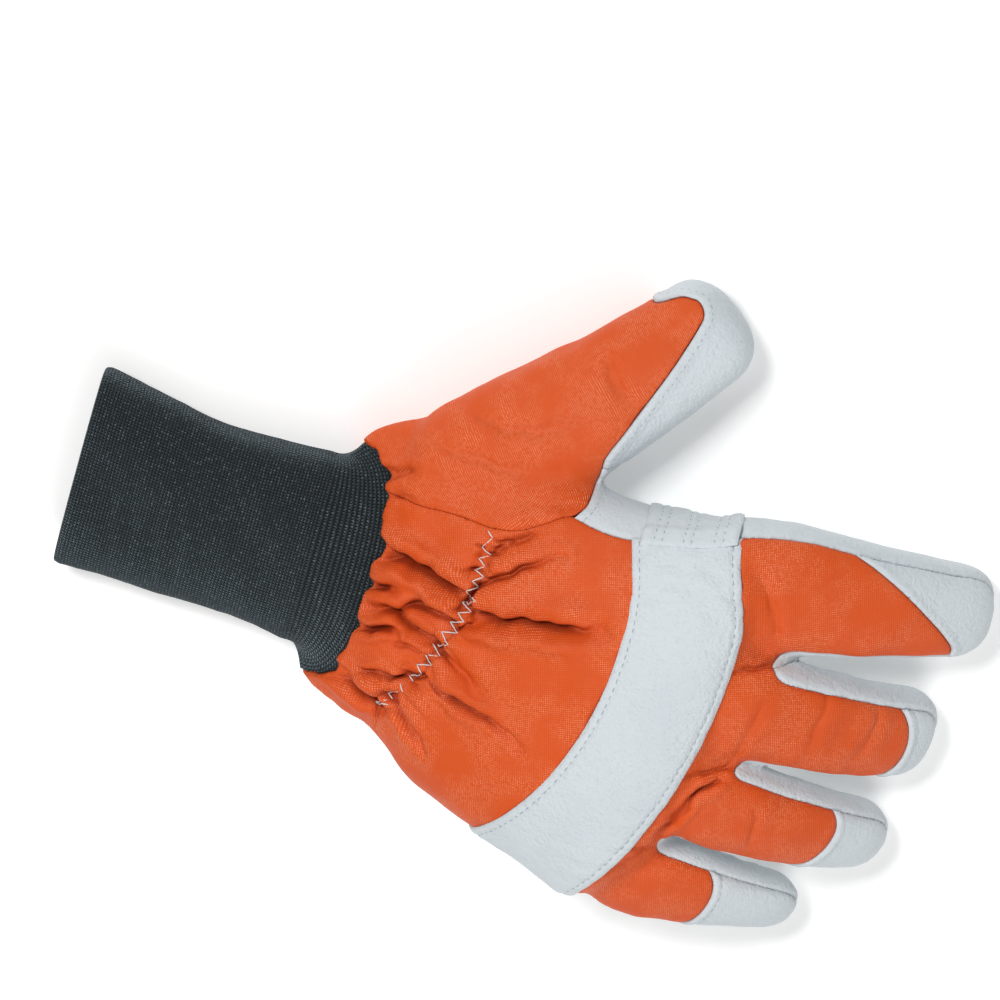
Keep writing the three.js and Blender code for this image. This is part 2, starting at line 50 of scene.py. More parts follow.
import bpy
import numpy as np
from mathutils import Matrix, Vector
from mathutils.bvhtree import BVHTree
from mathutils.kdtree import KDTree

log = logging.getLogger("glove")

SHIFT = np.array([-54.268, -21.289, 0.0])
TILT = math.radians(18)
SPIN = math.radians(16)
TO_CAMERA = np.array([0.0, math.sin(TILT), math.cos(TILT)])
MILLIMETRE = 0.001
PER_METRE = 1000
ON_SEAM = 0.02
OUTSIDE = -50.0

Piece = bpy.types.Object
Material = bpy.types.Material
Socket = bpy.types.NodeSocket
Line = tuple[np.ndarray, np.ndarray]


class Slot(Enum):
    """Material slots of the record."""

    KNIT = "knit"
    CLOTH = "cloth"
    LEATHER = "leather"


class Side(Enum):
    """Which face of the glove a fold lies on."""

    BACK = "back"
    PALM = "palm"


def smooth(share: np.ndarray) -> np.ndarray:
    """Eased step from 0 to 1 as share goes from 0 to 1."""
    t = np.clip(share, 0.0, 1.0)
    return t * t * (3 - 2 * t)


def through(table: np.ndarray, column: int, share: np.ndarray) -> np.ndarray:
    """Smooth curve through one column of a table whose first column is the key.

    Args:
        table: Rows in the order of their keys.
        column: The column that is read.
        share: Where the curve is read.

    Returns:
        The value at each share.
    """
    keys, values, last = table[:, 0], table[:, column], len(table) - 1
    share = np.asarray(share, float)
    i = np.clip(np.searchsorted(keys, share) - 1, 0, last - 1)
    before, after = np.maximum(i - 1, 0), np.minimum(i + 2, last)
    span = keys[i + 1] - keys[i]
    t = np.clip((share - keys[i]) / span, 0, 1)
    slope_in = (values[i + 1] - values[before]) / (keys[i + 1] - keys[before]) * span
    slope_out = (values[after] - values[i]) / (keys[after] - keys[i]) * span
    t2, t3 = t * t, t * t * t
    return (
        (2 * t3 - 3 * t2 + 1) * values[i]
        + (t3 - 2 * t2 + t) * slope_in
        + (3 * t2 - 2 * t3) * values[i + 1]
        + (t3 - t2) * slope_out
    )


def ripple(points: np.ndarray, length: float, seed: int, waves: int = 14) -> np.ndarray:
    """Gentle unevenness made of waves in all directions.

    Args:
        points: Places in millimetres.
        length: Typical length of a wave.
        seed: Which pattern.
        waves: How many waves are added.

    Returns:
        A value of about -1 to 1 at each place.
    """
    rng = np.random.default_rng(seed)
    total = np.zeros(len(points))
    for _ in range(waves):
        way = rng.normal(size=3)
        way *= 2 * math.pi / (length * rng.uniform(0.7, 1.5)) / np.linalg.norm(way)
        total += np.sin(points @ way + rng.uniform(0, 2 * math.pi))
    return total / math.sqrt(waves)


def half_section(
    half: float, rise: float, start: float, end: float, count: int, power: float, fineness: int = 400
) -> np.ndarray:
    """Evenly spaced points along half a rounded section.

    Args:
        half: Half width.
        rise: Height of this half.
        start: First angle.
        end: Last angle, left out.
        count: Number of points.
        power: Between an ellipse at 2 and a rectangle.
        fineness: Steps in which the length of the curve is measured.

    Returns:
        Rows of across and up.
    """
    angle = np.linspace(start, end, fineness)
    c, s = np.cos(angle), np.sin(angle)
    y = np.sign(c) * np.abs(c) ** (2 / power) * half
    z = np.sign(s) * np.abs(s) ** (2 / power) * rise
    run = np.concatenate([[0], np.cumsum(np.hypot(np.diff(y), np.diff(z)))])
    wanted = run[-1] * np.arange(count) / count
    return np.column_stack([np.interp(wanted, run, y), np.interp(wanted, run, z)])


def section(
    middle: float, half: float, widest: float, top: float, bottom: float, power: float, count: int = 60
) -> np.ndarray:
    """Closed section in Y and Z with its own height above and below its widest line.

    Args:
        middle: Place of its middle across.
        half: Half width.
        widest: Height of its widest line.
        top: Its highest point.
        bottom: Its lowest point.
        power: Roundness of its corners.
        count: Points in each half.

    Returns:
        Rows of Y and Z, from the thumb side over the top.
    """
    upper = half_section(half, top - widest, 0, math.pi, count, power)
    lower = half_section(half, widest - bottom, math.pi, 2 * math.pi, count, power)
    return np.vstack([upper, lower]) + [middle, widest]


def closed_loft(rings: list[np.ndarray]) -> tuple[np.ndarray, list[tuple[int, ...]]]:
    """Closed surface through rings that follow each other along X.

    Args:
        rings: Rings with the same number of points, from +Y over the top.

    Returns:
        Points, and faces that point outwards.
    """
    count = len(rings[0])
    points = np.vstack([*rings, rings[0].mean(0), rings[-1].mean(0)])
    first, last, end = len(points) - 2, len(points) - 1, (len(rings) - 1) * count
    faces: list[tuple[int, ...]] = []
    for k in range(count):
        n = (k + 1) % count
        for i in range(len(rings) - 1):
            faces.append((i * count + k, i * count + n, (i + 1) * count + n, (i + 1) * count + k))
        faces.append((first, n, k))
        faces.append((last, end + k, end + n))
    return points, faces


def outline_reach(x: np.ndarray, y: np.ndarray, outline: np.ndarray) -> np.ndarray:
    """How far places lie inside a closed outline, and below 0 outside it.

    Args:
        x: First coordinate of the places.
        y: Second coordinate of the places.
        outline: Corners, in order.

    Returns:
        Signed distance to the outline.
    """
    best, inside = np.full(len(x), 1e9), np.zeros(len(x), bool)
    for a, b in zip(outline, np.roll(outline, -1, axis=0)):
        way = b - a
        t = np.clip(((x - a[0]) * way[0] + (y - a[1]) * way[1]) / max(way @ way, 1e-9), 0, 1)
        best = np.minimum(best, np.hypot(x - a[0] - t * way[0], y - a[1] - t * way[1]))
        spans = (a[1] > y) != (b[1] > y)
        with np.errstate(divide="ignore", invalid="ignore"):
            cross = a[0] + (y - a[1]) / (b[1] - a[1]) * way[0]
        inside ^= spans & (x < cross)
    return np.where(inside, best, -best)


def rounded(outline: np.ndarray, times: int = 2, near: float = 0.8, far: float = 0.2) -> np.ndarray:
    """An outline with its corners cut, times over, by the near and far shares of each side.

    Args:
        outline: Its corners.
        times: Rounds.
        near: Share of the near corner.
        far: Share of the far one.

    Returns:
        The outline with more corners.
    """
    for _ in range(times):
        after = np.roll(outline, -1, axis=0)
        cuts = [outline * near + after * far, outline * far + after * near]
        outline = np.stack(cuts, axis=1).reshape(-1, 2)
    return outline


def select_only(obj: Piece) -> None:
    """Makes one object the only selected and the active one."""
    bpy.ops.object.select_all(action="DESELECT")
    obj.select_set(True)
    bpy.context.view_layer.objects.active = obj


def new_object(name: str, points: np.ndarray, faces: list, in_pattern: bool = True) -> Piece:
    """Object from points and faces.

    Args:
        name: Its name.
        points: Places in millimetres in the pattern frame.
        faces: Corner numbers of each face.
        in_pattern: False keeps the millimetres, for a form that is still being worked on.

    Returns:
        The object, at the origin.
    """
    mesh = bpy.data.meshes.new(name)
    placed = (points + SHIFT) * MILLIMETRE if in_pattern else points
    mesh.from_pydata(placed.tolist(), [], faces if isinstance(faces, list) else faces.tolist())
    mesh.update()
    obj = bpy.data.objects.new(name, mesh)
    bpy.context.scene.collection.objects.link(obj)
    return obj


@dataclass
class Skin:
    """Triangles over the glove, with named values at their corners."""

    points: np.ndarray
    tris: np.ndarray
    values: dict[str, np.ndarray] = field(default_factory=dict)
    snap: float = 0.08
    nowhere: float = 1e3

    def edges(self) -> np.ndarray:
        """Every edge once, as two corner numbers."""
        pairs = np.sort(self.tris[:, [0, 1, 1, 2, 2, 0]].reshape(-1, 2), axis=1)
        return np.unique(pairs, axis=0)

    def border(self) -> np.ndarray:
        """Edges that only one triangle has."""
        pairs = np.sort(self.tris[:, [0, 1, 1, 2, 2, 0]].reshape(-1, 2), axis=1)
        found, counts = np.unique(pairs, axis=0, return_counts=True)
        return found[counts == 1]

    def relax(self, times: int, weight: np.ndarray | float = 1.0, hold_border: bool = True) -> None:
        """Evens the surface out.

        Args:
            times: Rounds.
            weight: Share of each move, at each point or all over.
            hold_border: Whether the border stays where it is.
        """
        pairs = self.edges()
        count = np.bincount(pairs.ravel(), minlength=len(self.points)).astype(float)
        share = np.ones(len(self.points)) * weight * 0.5
        if hold_border and len(self.border()):
            share[np.unique(self.border())] = 0
        for _ in range(times):
            total = np.zeros_like(self.points)
            for axis in range(3):
                total[:, axis] = np.bincount(pairs[:, 0], self.points[pairs[:, 1], axis], len(self.points))
                total[:, axis] += np.bincount(pairs[:, 1], self.points[pairs[:, 0], axis], len(self.points))
            middle = total / np.maximum(count, 1)[:, None]
            self.points = self.points + (middle - self.points) * share[:, None]

    def touching(self, edges: np.ndarray) -> np.ndarray:
        """Which triangles have a corner on any of the edges."""
        on = np.zeros(len(self.points), bool)
        on[edges] = True
        return on[self.tris].any(1)

    def even_border(self, times: int) -> None:
        """Takes the jags out of the border, each point drawn towards its two neighbours.

        Args:
            times: Rounds.
        """
        edges = self.border()
        ends, index = np.unique(edges, return_inverse=True)
        index = index.reshape(-1, 2)
        count = np.bincount(index.ravel(), minlength=len(ends))[:, None]
        for _ in range(times):
            places, total = self.points[ends], np.zeros((len(ends), 3))
            np.add.at(total, index[:, 0], places[index[:, 1]])
            np.add.at(total, index[:, 1], places[index[:, 0]])
            self.points[ends] = places * 0.5 + total / count * 0.5
        near = np.zeros(len(self.points))
        near[ends] = 1
        for _ in range(3):
            pairs = self.edges()
            grown = near.copy()
            np.maximum.at(grown, pairs[:, 0], near[pairs[:, 1]] * 0.75)
            np.maximum.at(grown, pairs[:, 1], near[pairs[:, 0]] * 0.75)
            near = grown
        self.relax(3, weight=near)

    def evened(self, values: np.ndarray, times: int, weight: np.ndarray) -> np.ndarray:
        """A value spread to its neighbours, times over, by a weight of 0 to 1 at each point.

        Args:
            values: The value at each point.
            times: Rounds.
            weight: Share of each move.

        Returns:
            The spread value.
        """
        pairs = self.edges()
        count = np.bincount(pairs.ravel(), minlength=len(self.points))
        for _ in range(times):
            total = np.bincount(pairs[:, 0], values[pairs[:, 1]], len(values))
            total += np.bincount(pairs[:, 1], values[pairs[:, 0]], len(values))
            values = values + (total / count - values) * weight
        return values

    def normals(self) -> np.ndarray:
        """Unit normal at each point.

        Returns:
            One row for each point.
        """
        a, b, c = (self.points[self.tris[:, i]] for i in range(3))
        face = np.cross(b - a, c - a)
        total = np.zeros_like(self.points)
        for axis in range(3):
            for corner in range(3):
                total[:, axis] += np.bincount(self.tris[:, corner], face[:, axis], len(self.points))
        return total / np.maximum(np.linalg.norm(total, axis=1), 1e-9)[:, None]

    def cut(self, name: str) -> "Skin":
        """Splits the triangles that the zero line of a value crosses, so that edges run along the line.

        Args:
            name: The value.

        Returns:
            The cut skin, with the value 0 along its new edges.
        """
        f = self.values[name].copy()
        f[np.abs(f) < self.snap] = 0.0
        sign = np.sign(f).astype(int)
        pairs = self.edges()
        crossing = pairs[sign[pairs[:, 0]] * sign[pairs[:, 1]] < 0]
        key = {(int(a), int(b)): len(self.points) + i for i, (a, b) in enumerate(crossing)}
        t = (f[crossing[:, 0]] / (f[crossing[:, 0]] - f[crossing[:, 1]]))[:, None]
        met = self.points[crossing[:, 0]] * (1 - t) + self.points[crossing[:, 1]] * t
        points = np.vstack([self.points, met])
        values = {}
        for k, v in self.values.items():
            w = t if v.ndim > 1 else t[:, 0]
            values[k] = np.concatenate([v, v[crossing[:, 0]] * (1 - w) + v[crossing[:, 1]] * w])
        values[name] = np.concatenate([f, np.zeros(len(crossing))])
        s = sign[self.tris]
        mixed = (s.min(1) < 0) & (s.max(1) > 0)
        made = []
        for tri, side in zip(self.tris[mixed].tolist(), s[mixed].tolist()):
            if 0 in side:
                k = side.index(0)
                a, b, c = tri[k], tri[(k + 1) % 3], tri[(k + 2) % 3]
                m = key[(min(b, c), max(b, c))]
                made += [(a, b, m), (a, m, c)]
            else:
                k = next(i for i in range(3) if side[i] not in (side[(i + 1) % 3], side[(i + 2) % 3]))
                a, b, c = tri[k], tri[(k + 1) % 3], tri[(k + 2) % 3]
                m, n = key[(min(a, b), max(a, b))], key[(min(a, c), max(a, c))]
                made += [(a, m, n), (m, b, c), (m, c, n)]
        tris = np.vstack([self.tris[~mixed], np.array(made, int).reshape(-1, 3)])
        return Skin(points, tris, values)

    def keep(self, mask: np.ndarray) -> "Skin":
        """The triangles that a mask names, with only their own points."""
        used, index = np.unique(self.tris[mask], return_inverse=True)
        values = {k: v[used] for k, v in self.values.items()}
        return Skin(self.points[used], index.reshape(-1, 3), values)

    def split(self, name: str) -> tuple["Skin", "Skin"]:
        """The parts where a value is above and below 0."""
        whole = self.cut(name)
        inside = whole.values[name][whole.tris].sum(1) > 0
        return whole.keep(inside), whole.keep(~inside)

    def main_body(self) -> "Skin":
        """The largest connected part.

        Returns:
            That part as a skin of its own.
        """
        label = np.arange(len(self.points))
        pairs = self.edges()
        while True:
            low = label.copy()
            np.minimum.at(low, pairs[:, 0], label[pairs[:, 1]])
            np.minimum.at(low, pairs[:, 1], label[pairs[:, 0]])
            low = low[low]
            if np.array_equal(low, label):
                break
            label = low
        names, counts = np.unique(label[self.tris[:, 0]], return_counts=True)
        return self.keep(label[self.tris[:, 0]] == names[counts.argmax()])

    def refine(self) -> "Skin":
        """Every triangle cut in four.

        Returns:
            The finer skin.
        """
        pairs = self.edges()
        base = len(self.points)
        code = pairs[:, 0].astype(np.int64) * base + pairs[:, 1]

        def middle(i: int, j: int) -> np.ndarray:
            """Number of the point in the middle of an edge."""
            low = np.minimum(self.tris[:, i], self.tris[:, j])
            high = np.maximum(self.tris[:, i], self.tris[:, j])
            return base + np.searchsorted(code, low.astype(np.int64) * base + high)

        ab, bc, ca = middle(0, 1), middle(1, 2), middle(2, 0)
        a, b, c = self.tris.T
        quarters = ((a, ab, ca), (ab, b, bc), (ca, bc, c), (ab, bc, ca))
        tris = np.vstack([np.column_stack(corners) for corners in quarters])
        points = np.vstack([self.points, (self.points[pairs[:, 0]] + self.points[pairs[:, 1]]) / 2])
        values = {}
        for name, value in self.values.items():
            values[name] = np.concatenate([value, (value[pairs[:, 0]] + value[pairs[:, 1]]) / 2])
        return Skin(points, tris, values)

    def reach(self, mask: np.ndarray | None = None) -> np.ndarray:
        """Distance of each point from the border, or from the border edges that a mask names.

        Args:
            mask: Points whose border edges count, or None for all.

        Returns:
            The distances.
        """
        edges = self.border()
        if mask is not None:
            edges = edges[mask[edges].all(1)]
        if not len(edges):
            return np.full(len(self.points), self.nowhere)
        ends = self.points[edges]
        places = np.vstack([ends[:, 0], ends.mean(1)])
        tree = KDTree(len(places))
        for i, p in enumerate(places):
            tree.insert(p, i)
        tree.balance()
        return np.array([tree.find(p)[2] for p in self.points])

    def contour(self, values: np.ndarray, level: float) -> list[Line]:
        """Lines along which a value has a level.

        Args:
            values: The value at each point.
            level: The level.

        Returns:
            Places and normals of each line, the longest line first.
        """
        f = values - level
        f = np.where(np.abs(f) < 1e-4, 1e-4, f)
        normals = self.normals()
        place: dict[tuple[int, int], tuple[np.ndarray, np.ndarray]] = {}
        links: dict[tuple[int, int], list[tuple[int, int]]] = {}
        s = f[self.tris] > 0
        for tri in self.tris[(s.any(1)) & (~s.all(1))].tolist():
            keys = []
            for i in range(3):
                a, b = sorted((tri[i], tri[(i + 1) % 3]))
                if (f[a] > 0) != (f[b] > 0):
                    t = f[a] / (f[a] - f[b])
                    place[(a, b)] = (
                        self.points[a] * (1 - t) + self.points[b] * t,
                        normals[a] * (1 - t) + normals[b] * t,
                    )
                    keys.append((a, b))
            links.setdefault(keys[0], []).append(keys[1])
            links.setdefault(keys[1], []).append(keys[0])
        lines, seen = [], set()
        for start in sorted(links, key=lambda k: (len(links[k]), k)):
            if start in seen:
                continue
            line, at = [start], start
            seen.add(start)
            while True:
                ahead = [k for k in links[at] if k not in seen]
                if not ahead:
                    break
                at = ahead[0]
                seen.add(at)
                line.append(at)
            if len(line) > 3:
                lines.append((np.array([place[k][0] for k in line]), np.array([place[k][1] for k in line])))
        return sorted(lines, key=lambda p: -len(p[0]))


@dataclass(frozen=True)
class Digit:
    """Line, size and seams of one finger or the thumb, as in the glove's pattern.

    Args:
        root: Its start as shares of the hand's length, half width and knuckle height.
        length: From root to tip.
        width: Where it is widest.
        depth: At the root and at the tip.
        turn: Degrees towards the thumb, at the root and at the tip.
        dip: Degrees upwards, at the root and at the tip.
        roll: Degrees about its own line.
        taper: Share of the width that is left at the tip.
        seam: Height of the cloth's edge on the thumb's side and on the other, as shares of the half depth.
        cap: Where the cap starts on the thumb's side and on the other, as shares of the length.
        bulge: How far the cap's edge bows towards the tip, as a share of the length.
    """

    root: tuple[float, float, float]
    length: float
    width: float
    depth: tuple[float, float]
    turn: tuple[float, float]
    dip: tuple[float, float]
    roll: float
    taper: float
    seam: tuple[float, float] = (0.0, 0.0)
    cap: tuple[float, float] = (2.0, 2.0)
    bulge: float = 0.0


DIGITS = {
    "index": Digit(
        root=(0.754, 0.586, 0.65), length=112, width=45.4, depth=(29, 19), turn=(2, 2), dip=(0, -33),
        roll=-3, taper=0.7, seam=(0.45, 0.52), cap=(0.485, 0.915), bulge=0.05,
    ),
    "middle": Digit(
        root=(0.754, 0.057, 0.75), length=108, width=37.8, depth=(29, 19), turn=(-4, -4), dip=(0, -44),
        roll=5, taper=0.84, seam=(0.74, 0.45), cap=(0.81, 0.85), bulge=0.035,
    ),
    "ring": Digit(
        root=(0.754, -0.419, 0.717), length=103, width=34, depth=(27, 18), turn=(-8.2, -8.2),
        dip=(0, -44), roll=8, taper=0.74, seam=(0.64, 0.45), cap=(0.73, 0.68), bulge=0.035,
    ),
    "little": Digit(
        root=(0.717, -0.931, 0.583), length=83, width=33, depth=(25, 16.2), turn=(-5.4, -5.4),
        dip=(0, -39), roll=15, taper=0.58, seam=(0.7, 0.0), cap=(0.54, 0.515), bulge=0.03,
    ),
    "thumb": Digit(
        root=(0.087, 0.4, 0.283), length=131, width=48, depth=(40, 24), turn=(41, 52.5), dip=(4, -8),
        roll=0, taper=0.78,
    ),
}
SWELL = np.array([[0.0, 0.45, 0.55], [0.15, 0.88, 0.93], [0.32, 1.0, 1.0]])
HAND_COLUMNS = ("middle", "half", "widest", "top", "bottom", "seam")
HAND = np.array(
    [
        [0.0, 0.039, 0.618, 0.25, 0.5, 0.0, 0.62],
        [0.08, 0.071, 0.714, 0.267, 0.583, 0.0, 0.62],
        [0.17, 0.076, 0.781, 0.3, 0.6, 0.0, 0.62],
        [0.27, -0.006, 0.863, 0.333, 0.7, 0.0, 0.62],
        [0.45, -0.093, 0.907, 0.4, 0.833, 0.008, 0.62],
        [0.63, -0.15, 0.921, 0.483, 0.925, 0.083, 0.6],
        [0.78, -0.157, 0.971, 0.567, 0.983, 0.2, 0.48],
        [0.88, -0.15, 0.986, 0.633, 1.0, 0.317, 0.45],
        [0.95, -0.114, 0.914, 0.667, 0.95, 0.417, 0.45],
        [1.0, -0.114, 0.714, 0.667, 0.8, 0.533, 0.45],
    ]
)


@dataclass
class GloveForm:
    """Outer form of the glove without its cuff: a hand loft and five digit lofts made one skin."""

    hand_length: float = 138
    hand_width: float = 140
    knuckle_height: float = 60
    wrist_arch: float = 16
    wrist_back: float = 5
    arch_end: float = 0.3
    settle: float = 1.5
    settle_end: float = 0.6
    sweep_start: float = 0.5
    sweep_side: float = 0.29
    knuckle_sweep: float = 18
    tip_rounding: float = 13
    power: float = 2.5
    run_back: float = 9
    voxel: float = 1.22
    hand_rings_count: int = 46
    digit_rings_count: int = 34
    tip_rings: tuple[float, ...] = (0.8, 0.6, 0.42, 0.28, 0.16, 0.08, 0.02)
    widest_share: float = 0.32
    taper_length: float = 0.58

    @property
    def wrist_x(self) -> float:
        """Where the wrist seam lies along X."""
        return -0.029 * self.hand_length

    def hand_size(self, along: np.ndarray) -> dict[str, np.ndarray]:
        """Sizes of the hand's section at a share of its length.

        Args:
            along: Share of the hand's length.

        Returns:
            Each size by its name.
        """
        column = {name: through(HAND, i + 1, along) for i, name in enumerate(HAND_COLUMNS)}
        half_width = self.hand_width / 2
        settled = 1 - smooth(np.asarray(along) / self.settle_end)
        return {
            "middle": column["middle"] * half_width,
            "half": column["half"] * half_width,
            "widest": column["widest"] * self.knuckle_height,
            "top": column["top"] * self.knuckle_height,
            "bottom": column["bottom"] * self.knuckle_height - self.settle * settled,
            "seam": column["seam"],
        }

    def lead(self, along: np.ndarray, rise: np.ndarray) -> np.ndarray:
        """How far a place of a wrist section lies ahead of its station."""
        return (self.wrist_arch * rise - self.wrist_back) * (1 - smooth(np.asarray(along) / self.arch_end))

    def hand_rings(self) -> list[np.ndarray]:
        """Rings of the hand, from behind the wrist seam to inside the finger roots.

        Returns:
            The rings.
        """
        rings = []
        for along in np.linspace(0, 1, self.hand_rings_count):
            size = self.hand_size(along)
            yz = section(*(size[name] for name in HAND_COLUMNS[:5]), self.power)
            rise = np.maximum((yz[:, 1] - size["widest"]) / (size["top"] - size["widest"]), 0)
            side = self.sweep_side * self.hand_width / 2
            across = np.maximum(side - yz[:, 0], 0) / (side + self.hand_width / 2)
            past = (along - self.sweep_start) / (1 - self.sweep_start)
            sweep = self.knuckle_sweep * across**2 * smooth(past)
            x = self.wrist_x + along * self.hand_length + self.lead(along, rise) - sweep
            rings.append(np.column_stack([x, yz[:, 0], np.maximum(yz[:, 1], 0)]))
        return [rings[0] - [self.run_back, 0, 0], *rings]

    def axis(self, digit: Digit, share: np.ndarray) -> tuple[np.ndarray, ...]:
        """Line through a digit.

        Args:
            digit: The digit.
            share: Shares of its length. Below 0 the line runs straight on backwards.

        Returns:
            Centre, direction, side towards the thumb and up, at each share.
        """

        def direction(at: np.ndarray) -> np.ndarray:
            """Unit direction at shares of the length.

            Args:
                at: The shares.

            Returns:
                Rows of X, Y and Z.
            """
            t = np.clip(at, 0, 1)
            yaw = np.radians(digit.turn[0] + (digit.turn[1] - digit.turn[0]) * t)
            pitch = np.radians(digit.dip[0] + (digit.dip[1] - digit.dip[0]) * t)
            level = np.cos(pitch)
            return np.stack([np.cos(yaw) * level, np.sin(yaw) * level, np.sin(pitch)], axis=-1)

        fine = np.linspace(-0.2, 1.1, 521)
        step = fine[1] - fine[0]
        moves = direction(fine[:-1] + step / 2) * step * digit.length
        run = np.vstack([[0, 0, 0], np.cumsum(moves, axis=0)])
        run -= run[np.argmin(np.abs(fine))]
        along, aside, high = digit.root
        start = [
            self.wrist_x + along * self.hand_length,
            aside * self.hand_width / 2,
            high * self.knuckle_height,
        ]
        share = np.asarray(share, float)
        centre = np.stack([np.interp(share, fine, run[:, i]) + start[i] for i in range(3)], axis=-1)
        forward = direction(share)
        side = np.stack([-forward[..., 1], forward[..., 0], np.zeros(share.shape)], axis=-1)
        side /= np.linalg.norm(side, axis=-1, keepdims=True)
        roll = math.radians(digit.roll)
        side = side * math.cos(roll) + np.cross(forward, side) * math.sin(roll)
        return centre, forward, side, np.cross(forward, side)

    def digit_size(self, digit: Digit, share: np.ndarray) -> tuple[np.ndarray, np.ndarray]:
        """Half width and half depth of a digit at shares of its length.

        Args:
            digit: The digit.
            share: The shares.

        Returns:
            Half widths and half depths.
        """
        share = np.asarray(share, float)
        taper = 1 + (share - self.widest_share) / self.taper_length * (digit.taper - 1)
        width = np.where(share > self.widest_share, taper, through(SWELL, 1, share))
        depth = digit.depth[0] + (digit.depth[1] - digit.depth[0]) * np.clip(share, 0, 1)
        return width * digit.width / 2, depth * through(SWELL, 2, share) / 2

    def digit_rings(self, digit: Digit) -> list[np.ndarray]:
        """Rings of one digit, from inside the hand to its rounded tip.

        Args:
            digit: The digit.

        Returns:
            The rings.
        """
        tip = self.tip_rounding / digit.length
        straight = np.linspace(0, 1 - tip, self.digit_rings_count)
        shares = np.concatenate([straight, 1 - tip * np.array(self.tip_rings)])
        rings = []
        for share in shares:
            centre, _, side, up = self.axis(digit, share)
            half, deep = self.digit_size(digit, share)
            left = min((1 - share) / tip, 1)
            round_off = (1 - (1 - left) ** self.power) ** (1 / self.power)
            yz = section(0, half * round_off, 0, deep * round_off, -deep * round_off, self.power)
            ring = centre + yz[:, :1] * side + yz[:, 1:] * up
            ring[:, 2] = np.maximum(ring[:, 2], 0)
            rings.append(ring)
        return rings

    def build(self) -> Skin:
        """One even skin over the hand and its digits.

        Returns:
            The skin.
        """
        points, faces, base = [], [], 0
        for rings in (self.hand_rings(), *(self.digit_rings(d) for d in DIGITS.values())):
            some, quads = closed_loft(rings)
            points.append(some)
            faces += [tuple(base + i for i in f) for f in quads]
            base += len(some)
        form = new_object("form", np.vstack(points), faces, in_pattern=False)
        select_only(form)
        form.data.remesh_voxel_size = self.voxel
        bpy.ops.object.voxel_remesh()
        mesh = form.data
        mesh.calc_loop_triangles()
        co = np.empty(len(mesh.vertices) * 3, np.float32)
        mesh.vertices.foreach_get("co", co)
        tris = np.empty(len(mesh.loop_triangles) * 3, np.int32)
        mesh.loop_triangles.foreach_get("vertices", tris)
        skin = Skin(co.reshape(-1, 3).astype(float), tris.reshape(-1, 3).astype(int))
        bpy.data.objects.remove(form)
        bpy.data.meshes.remove(mesh)
        skin.relax(5)
        skin.relax(30, weight=self.crease_weight(skin.points))
        log.info("form: %d points", len(skin.points))
        return skin

    def crease_weight(self, points: np.ndarray) -> np.ndarray:
        """Where the roots of the digits are evened out, from 0 to 1.

        Args:
            points: The places.

        Returns:
            The weights.
        """
        fingers = np.exp(-(((points[:, 0] - 110 - 0.12 * points[:, 1]) / 16) ** 2))
        thumb = np.exp(-(np.hypot(points[:, 0] - 52, points[:, 1] - 44) / 26) ** 2)
        webs = sum(np.exp(-(np.hypot(points[:, 0] - x, points[:, 1] - y) / 7) ** 2) for x, y in WEB_HOLLOWS)
        return np.clip(fingers * 0.7 + thumb + webs, 0, 1)


THUMB_TOP = np.array(
    [
        [-0.2, 0.471], [0.065, 0.471], [0.225, 0.509], [0.333, 0.523], [0.428, 0.6], [0.519, 0.7],
        [0.534, 0.864], [0.532, 0.957], [0.575, 1.176], [0.63, 1.477], [0.652, 1.614], [0.667, 1.735],
        [0.645, 1.79], [0.6, 1.788], [0.556, 1.73], [0.525, 1.7], [0.49, 1.78], [0.4, 1.95], [-0.2, 2.0],
    ]
)
THUMB_UNDER = np.array(
    [
        [-0.2, 0.314], [0.0, 0.343], [0.174, 0.543], [0.406, 0.923], [0.512, 1.319], [0.563, 1.5],
        [0.574, 1.61], [0.55, 1.68], [0.52, 1.72], [0.45, 1.9], [-0.2, 2.071],
    ]
)
THUMB_FRONT = np.array(
    [
        [0.478, 0.857], [0.609, 0.929], [0.971, 1.086], [0.971, 2.143], [0.246, 2.143], [0.246, 1.2],
    ]
)
MIDDLE_RING = np.array(
    [
        [0.884, 0.293], [1.696, 0.293], [1.696, -0.943], [0.884, -0.714],
    ]
)
FINGER_ROOTS = ((140.6, 17.0), (132.0, -21.0), (118.0, -56.0))
WEB_HOLLOWS = ((134.0, 22.0), (132.0, -17.0), (117.0, -50.0))


